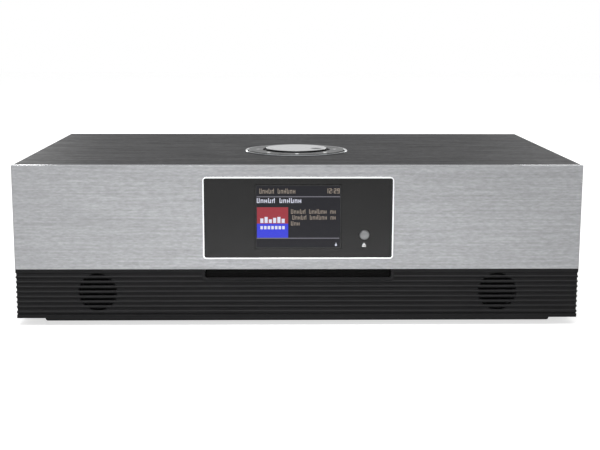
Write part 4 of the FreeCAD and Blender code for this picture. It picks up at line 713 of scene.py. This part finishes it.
def screwHead(place, turn):
    # domed head with a real cross recess
    r, h = screw["radius"], screw["high"]
    dome = [(0.0, h), (r * 0.45, h * 0.97), (r * 0.75, h * 0.84), (r * 0.93, h * 0.55), (r, h * 0.2),
            (r, 0.0), (0.0, 0.0)]
    head = bpy.data.objects.new("head", turnedMesh("head", dome, Vector((0, 0, 0)), screw["steps"]))
    work = bmesh.new()
    for angle in (0, 90):
        spin = Matrix.Rotation(math.radians(angle + turn), 4, "Y")
        size = Matrix.Diagonal((screw["slotLong"] * mm, screw["slotDeep"] * 2 * mm,
                                screw["slotWide"] * mm, 1))
        bmesh.ops.create_cube(work, size=1, matrix=Matrix.Translation((0, h * mm, 0)) @ spin @ size)
    mesh = bpy.data.meshes.new("cross")
    work.to_mesh(mesh)
    work.free()
    cross = bpy.data.objects.new("cross", mesh)
    for item in (head, cross):
        bpy.context.scene.collection.objects.link(item)
    carve = head.modifiers.new("carve", "BOOLEAN")
    carve.object, carve.operation, carve.solver, carve.use_self = cross, "DIFFERENCE", "EXACT", True
    bpy.context.view_layer.update()
    made = bpy.data.meshes.new_from_object(head.evaluated_get(bpy.context.evaluated_depsgraph_get()))
    made.transform(Matrix.Translation(place))
    for item in (head, cross):
        bpy.data.objects.remove(item)
    return made


heads = []
for i, side in enumerate((-1, 1)):
    for j, row in enumerate((-1, 0, 1)):
        spot = Vector((side * sideInner, rearFace, middle + row * reach))
        turned = screw["firstTurn"] + screw["sideTurn"] * i + screw["rowTurn"] * j
        heads.append(screwHead(spot, turned))
screws = meshPiece("rearScrews", joinMeshes("rearScrews", heads), blackZinc, "radio_case")
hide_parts("case_screws")

phono = {
    "radius": 4.15, "long": 8.0, "wall": 0.45, "washer": 5.6, "washerThick": 0.6,
    "rimHigh": 0.3, "rimWide": 0.2, "floor": 0.1,       # chamfered rim, and foot of the bore
    "bore": 1.6, "sunk": 1.2, "leadWide": 0.5, "leadDeep": 0.4, "pinFloor": 0.4,
    "fromEnd": 6,                                       # from the sockets' ends to their centres
}
lineLow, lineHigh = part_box("line_sockets")
antennaLow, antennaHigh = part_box("antenna_socket")
axisZ = (antennaLow.z + antennaHigh.z) / 2
shells, inserts = [], []
r, long, bore = phono["radius"], phono["long"], phono["bore"]
inner, rim = r - phono["wall"], long - phono["sunk"]
for x in (lineLow.x + phono["fromEnd"] * mm, lineHigh.x - phono["fromEnd"] * mm):
    start = Vector((x, rearFace, axisZ))
    shells.append(turnedMesh("shell", [
        (phono["washer"], 0), (phono["washer"], phono["washerThick"]), (r, phono["washerThick"]),
        (r, long - phono["rimHigh"]), (r - phono["rimWide"], long), (inner, long), (inner, rim),
        (inner, phono["floor"])], start))
    inserts.append(turnedMesh("insert", [
        (inner, phono["floor"]), (inner, rim), (bore + phono["leadWide"], rim),
        (bore, rim - phono["leadDeep"]), (bore, phono["pinFloor"]), (0, phono["pinFloor"])], start))
shell = meshPiece("phonoShells", joinMeshes("phonoShells", shells), nickel, "radio_case",
                  True)
meshPiece("phonoInsertWhite", inserts[0], whiteInsert, "radio_case", True)
meshPiece("phonoInsertRed", inserts[1], redInsert, "radio_case", True)
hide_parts("line_sockets")

antenna = {
    "radius": 4.7, "long": 8.2, "pitch": 0.8, "depth": 0.4, "flange": 5.0, "tipDraw": 0.6,
    "mouth": 3.4, "coreSunk": 0.5, "coreEdge": 1.4, "leadEnd": 0.9, "bore": 1.0, "boreFloor": 1.0,
    "nut": 6.6, "nutThick": 2.0, "nutBevel": 0.25,
}
aerialStart = Vector(((antennaLow.x + antennaHigh.x) / 2, rearFace, axisZ))
root, long = antenna["radius"] - antenna["depth"], antenna["long"]
thread = [(antenna["flange"], 0.0), (root, 0.0)]
far = antenna["nutThick"]
while far + antenna["pitch"] < long:
    thread += [(root, far), (antenna["radius"], far + antenna["pitch"] / 2)]
    far += antenna["pitch"]
thread += [(root, far), (antenna["radius"] - antenna["tipDraw"], long), (antenna["mouth"], long),
           (antenna["mouth"], long - antenna["coreSunk"])]
barrel = meshPiece("antennaThread", turnedMesh("antennaThread", thread, aerialStart), nickel,
                   "radio_case")
core = [(antenna["mouth"], long - antenna["coreSunk"]),
        (antenna["coreEdge"], long - antenna["coreSunk"]),
        (antenna["bore"], long - antenna["leadEnd"]), (antenna["bore"], antenna["boreFloor"]),
        (0, antenna["boreFloor"])]
meshPiece("antennaCore", turnedMesh("antennaCore", core, aerialStart), whiteInsert, "radio_case",
          True)
hexNut = []
for i in range(6):
    a = math.radians(60 * i)
    hexNut.append((antenna["nut"] * math.cos(a), antenna["nut"] * math.sin(a)))
outward = Matrix(((-1, 0, 0), (0, 0, 1), (0, 1, 0))).to_4x4()     # x left, y up, z to the back
nut = slabs("antennaNut", [hexNut], Matrix.Translation(aerialStart) @ outward, antenna["nutThick"],
            nickel, "radio_case")
nutEdge = nut.modifiers.new("edge", "BEVEL")
nutEdge.width, nutEdge.segments, nutEdge.limit_method = antenna["nutBevel"] * mm, 2, "ANGLE"
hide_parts("antenna_socket")

jack = {"count": 3, "fromEnd": 6, "apart": 17, "bore": 1.8, "lip": 2.7, "proud": 0.12,
        "lipEdge": 0.1, "boreEdge": 0.2, "deep": 3}
jackLow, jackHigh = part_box("jack_sockets")
bushProfile = [(jack["lip"], 0), (jack["lip"] - jack["lipEdge"], jack["proud"]),
               (jack["bore"] + jack["boreEdge"], jack["proud"]), (jack["bore"], 0),
               (jack["bore"], -jack["deep"])]
bushes = []
for i in range(jack["count"]):
    x = jackLow.x + jack["fromEnd"] * mm + i * jack["apart"] * mm
    bushes.append(turnedMesh("bush", bushProfile, Vector((x, jackHigh.y, axisZ))))
meshPiece("jackBushes", joinMeshes("jackBushes", bushes), nickel, "radio_case", True)
print("rear detailed")


# ---- floor, light and camera

def seenWhite(tree):
    # 1 for rays that the eye, a mirror or glass sends out, so that all three see the pale studio
    path = addNode(tree, "LightPath")
    two = addNode(tree, "Math", {0: path.outputs["Is Camera Ray"], 1: path.outputs["Is Glossy Ray"]},
                  operation="MAXIMUM")
    return addNode(tree, "Math", {0: two.outputs[0], 1: path.outputs["Is Transmission Ray"]},
                   operation="MAXIMUM").outputs[0]


def studioSurface(name, colour, glow):
    # pale matt floor, lifted to white where it is seen, with the shadow kept
    material, tree, shader, _ = startMaterial(
        name, {"Base Color": hexColour(colour), "Roughness": 0.9, "Specular IOR Level": 0.1})
    lift = addNode(tree, "Emission", {"Color": (1, 1, 1, 1), "Strength": glow})
    nothing = addNode(tree, "Emission", {"Strength": 0.0})
    chosen = addNode(tree, "MixShader", {0: seenWhite(tree), 1: nothing.outputs[0], 2: lift.outputs[0]})
    both = addNode(tree, "AddShader", {0: shader.outputs[0], 1: chosen.outputs[0]})
    output = next(n for n in tree.nodes if n.type == "OUTPUT_MATERIAL")
    tree.links.new(both.outputs[0], output.inputs["Surface"])
    return material


studio = {
    "floorSide": 9.0, "floorColour": "d8d8d8", "floorGlow": 0.68,    # side in metres
    "surround": 0.4,              # light from all round on matt surfaces
}
plane = bpy.data.meshes.new("floor")
reachOut = studio["floorSide"] / 2
plane.from_pydata([(-reachOut, -reachOut, 0), (reachOut, -reachOut, 0), (reachOut, reachOut, 0),
                   (-reachOut, reachOut, 0)], [], [(0, 1, 2, 3)])
floor = bpy.data.objects.new("floor", plane)
plane.materials.append(studioSurface("paleFloor", studio["floorColour"], studio["floorGlow"]))
bpy.context.scene.collection.objects.link(floor)

world = bpy.data.worlds.new("surround")
bpy.context.scene.world = world
world.use_nodes = True
air = world.node_tree
air.nodes.clear()
level = addNode(air, "Mix", {0: seenWhite(air), 2: studio["surround"], 3: 1.0})
backdrop = addNode(air, "Background", {"Color": (1, 1, 1, 1), "Strength": level.outputs[0]})
addNode(air, "OutputWorld", {"Surface": backdrop.outputs[0]})

lamps = {
    # name: (place, aim, width, height, watts, spread in degrees), lengths in metres
    "overheadSoftbox": ((0.0, -0.1, 2.2), (0, 0, 0), 3.0, 2.2, 17, 180),
    "frontHigh": ((-0.12, -0.6, 0.95), (-0.05, -0.2, 0), 0.7, 0.25, 4.2, 180),
    "frontPool": ((0.0, -0.36, 0.4), (0.0, -0.36, 0), 0.34, 0.14, 0.5, 60),
    "frontStrip": ((-0.36, -1.35, 0.12), (-0.14, 0, 0.07), 0.45, 0.12, 0.3, 180),
    "backLeftSoftbox": ((-0.8, 1.7, 0.5), (0, 0, 0.12), 0.5, 0.3, 4.4, 180),
    "backRightSoftbox": ((0.8, 1.7, 0.5), (0, 0, 0.12), 0.5, 0.3, 1.6, 180),
}
for name, (place, aim, width, height, watts, spread) in lamps.items():
    data = bpy.data.lights.new(name, "AREA")
    data.shape, data.size, data.size_y, data.energy = "RECTANGLE", width, height, watts
    data.spread = math.radians(spread)
    lamp = bpy.data.objects.new(name, data)
    lamp.location = place
    lamp.rotation_euler = (Vector(aim) - Vector(place)).to_track_quat("-Z", "Y").to_euler()
    bpy.context.scene.collection.objects.link(lamp)

view = {"place": (-15.27, -953.47, 222.30), "lens": 68.52, "sensor": 36.0,
        "yaw": -1.138, "pitch": 9.94, "roll": 0.147, "clip": 0.05}    # degrees; clip in metres
yaw, pitch, roll = (math.radians(view[k]) for k in ("yaw", "pitch", "roll"))
sideways = Vector((math.cos(yaw), math.sin(yaw), 0))
ahead = Vector((-math.sin(yaw), math.cos(yaw), 0))
forward = math.cos(pitch) * ahead - Vector((0, 0, math.sin(pitch)))
upright = math.sin(pitch) * ahead + Vector((0, 0, math.cos(pitch)))
rightward = math.cos(roll) * sideways + math.sin(roll) * upright
upward = -math.sin(roll) * sideways + math.cos(roll) * upright
cameraData = bpy.data.cameras.new("camera")
cameraData.lens, cameraData.sensor_width = view["lens"], view["sensor"]
cameraData.clip_start = view["clip"]
camera = bpy.data.objects.new("camera", cameraData)
axes = Matrix((rightward, upward, -forward)).transposed().to_4x4()
camera.matrix_world = Matrix.Translation(Vector(view["place"]) * mm) @ axes
bpy.context.scene.collection.objects.link(camera)
bpy.context.scene.camera = camera
bpy.context.scene.view_settings.view_transform = "Standard"
print("studio set")
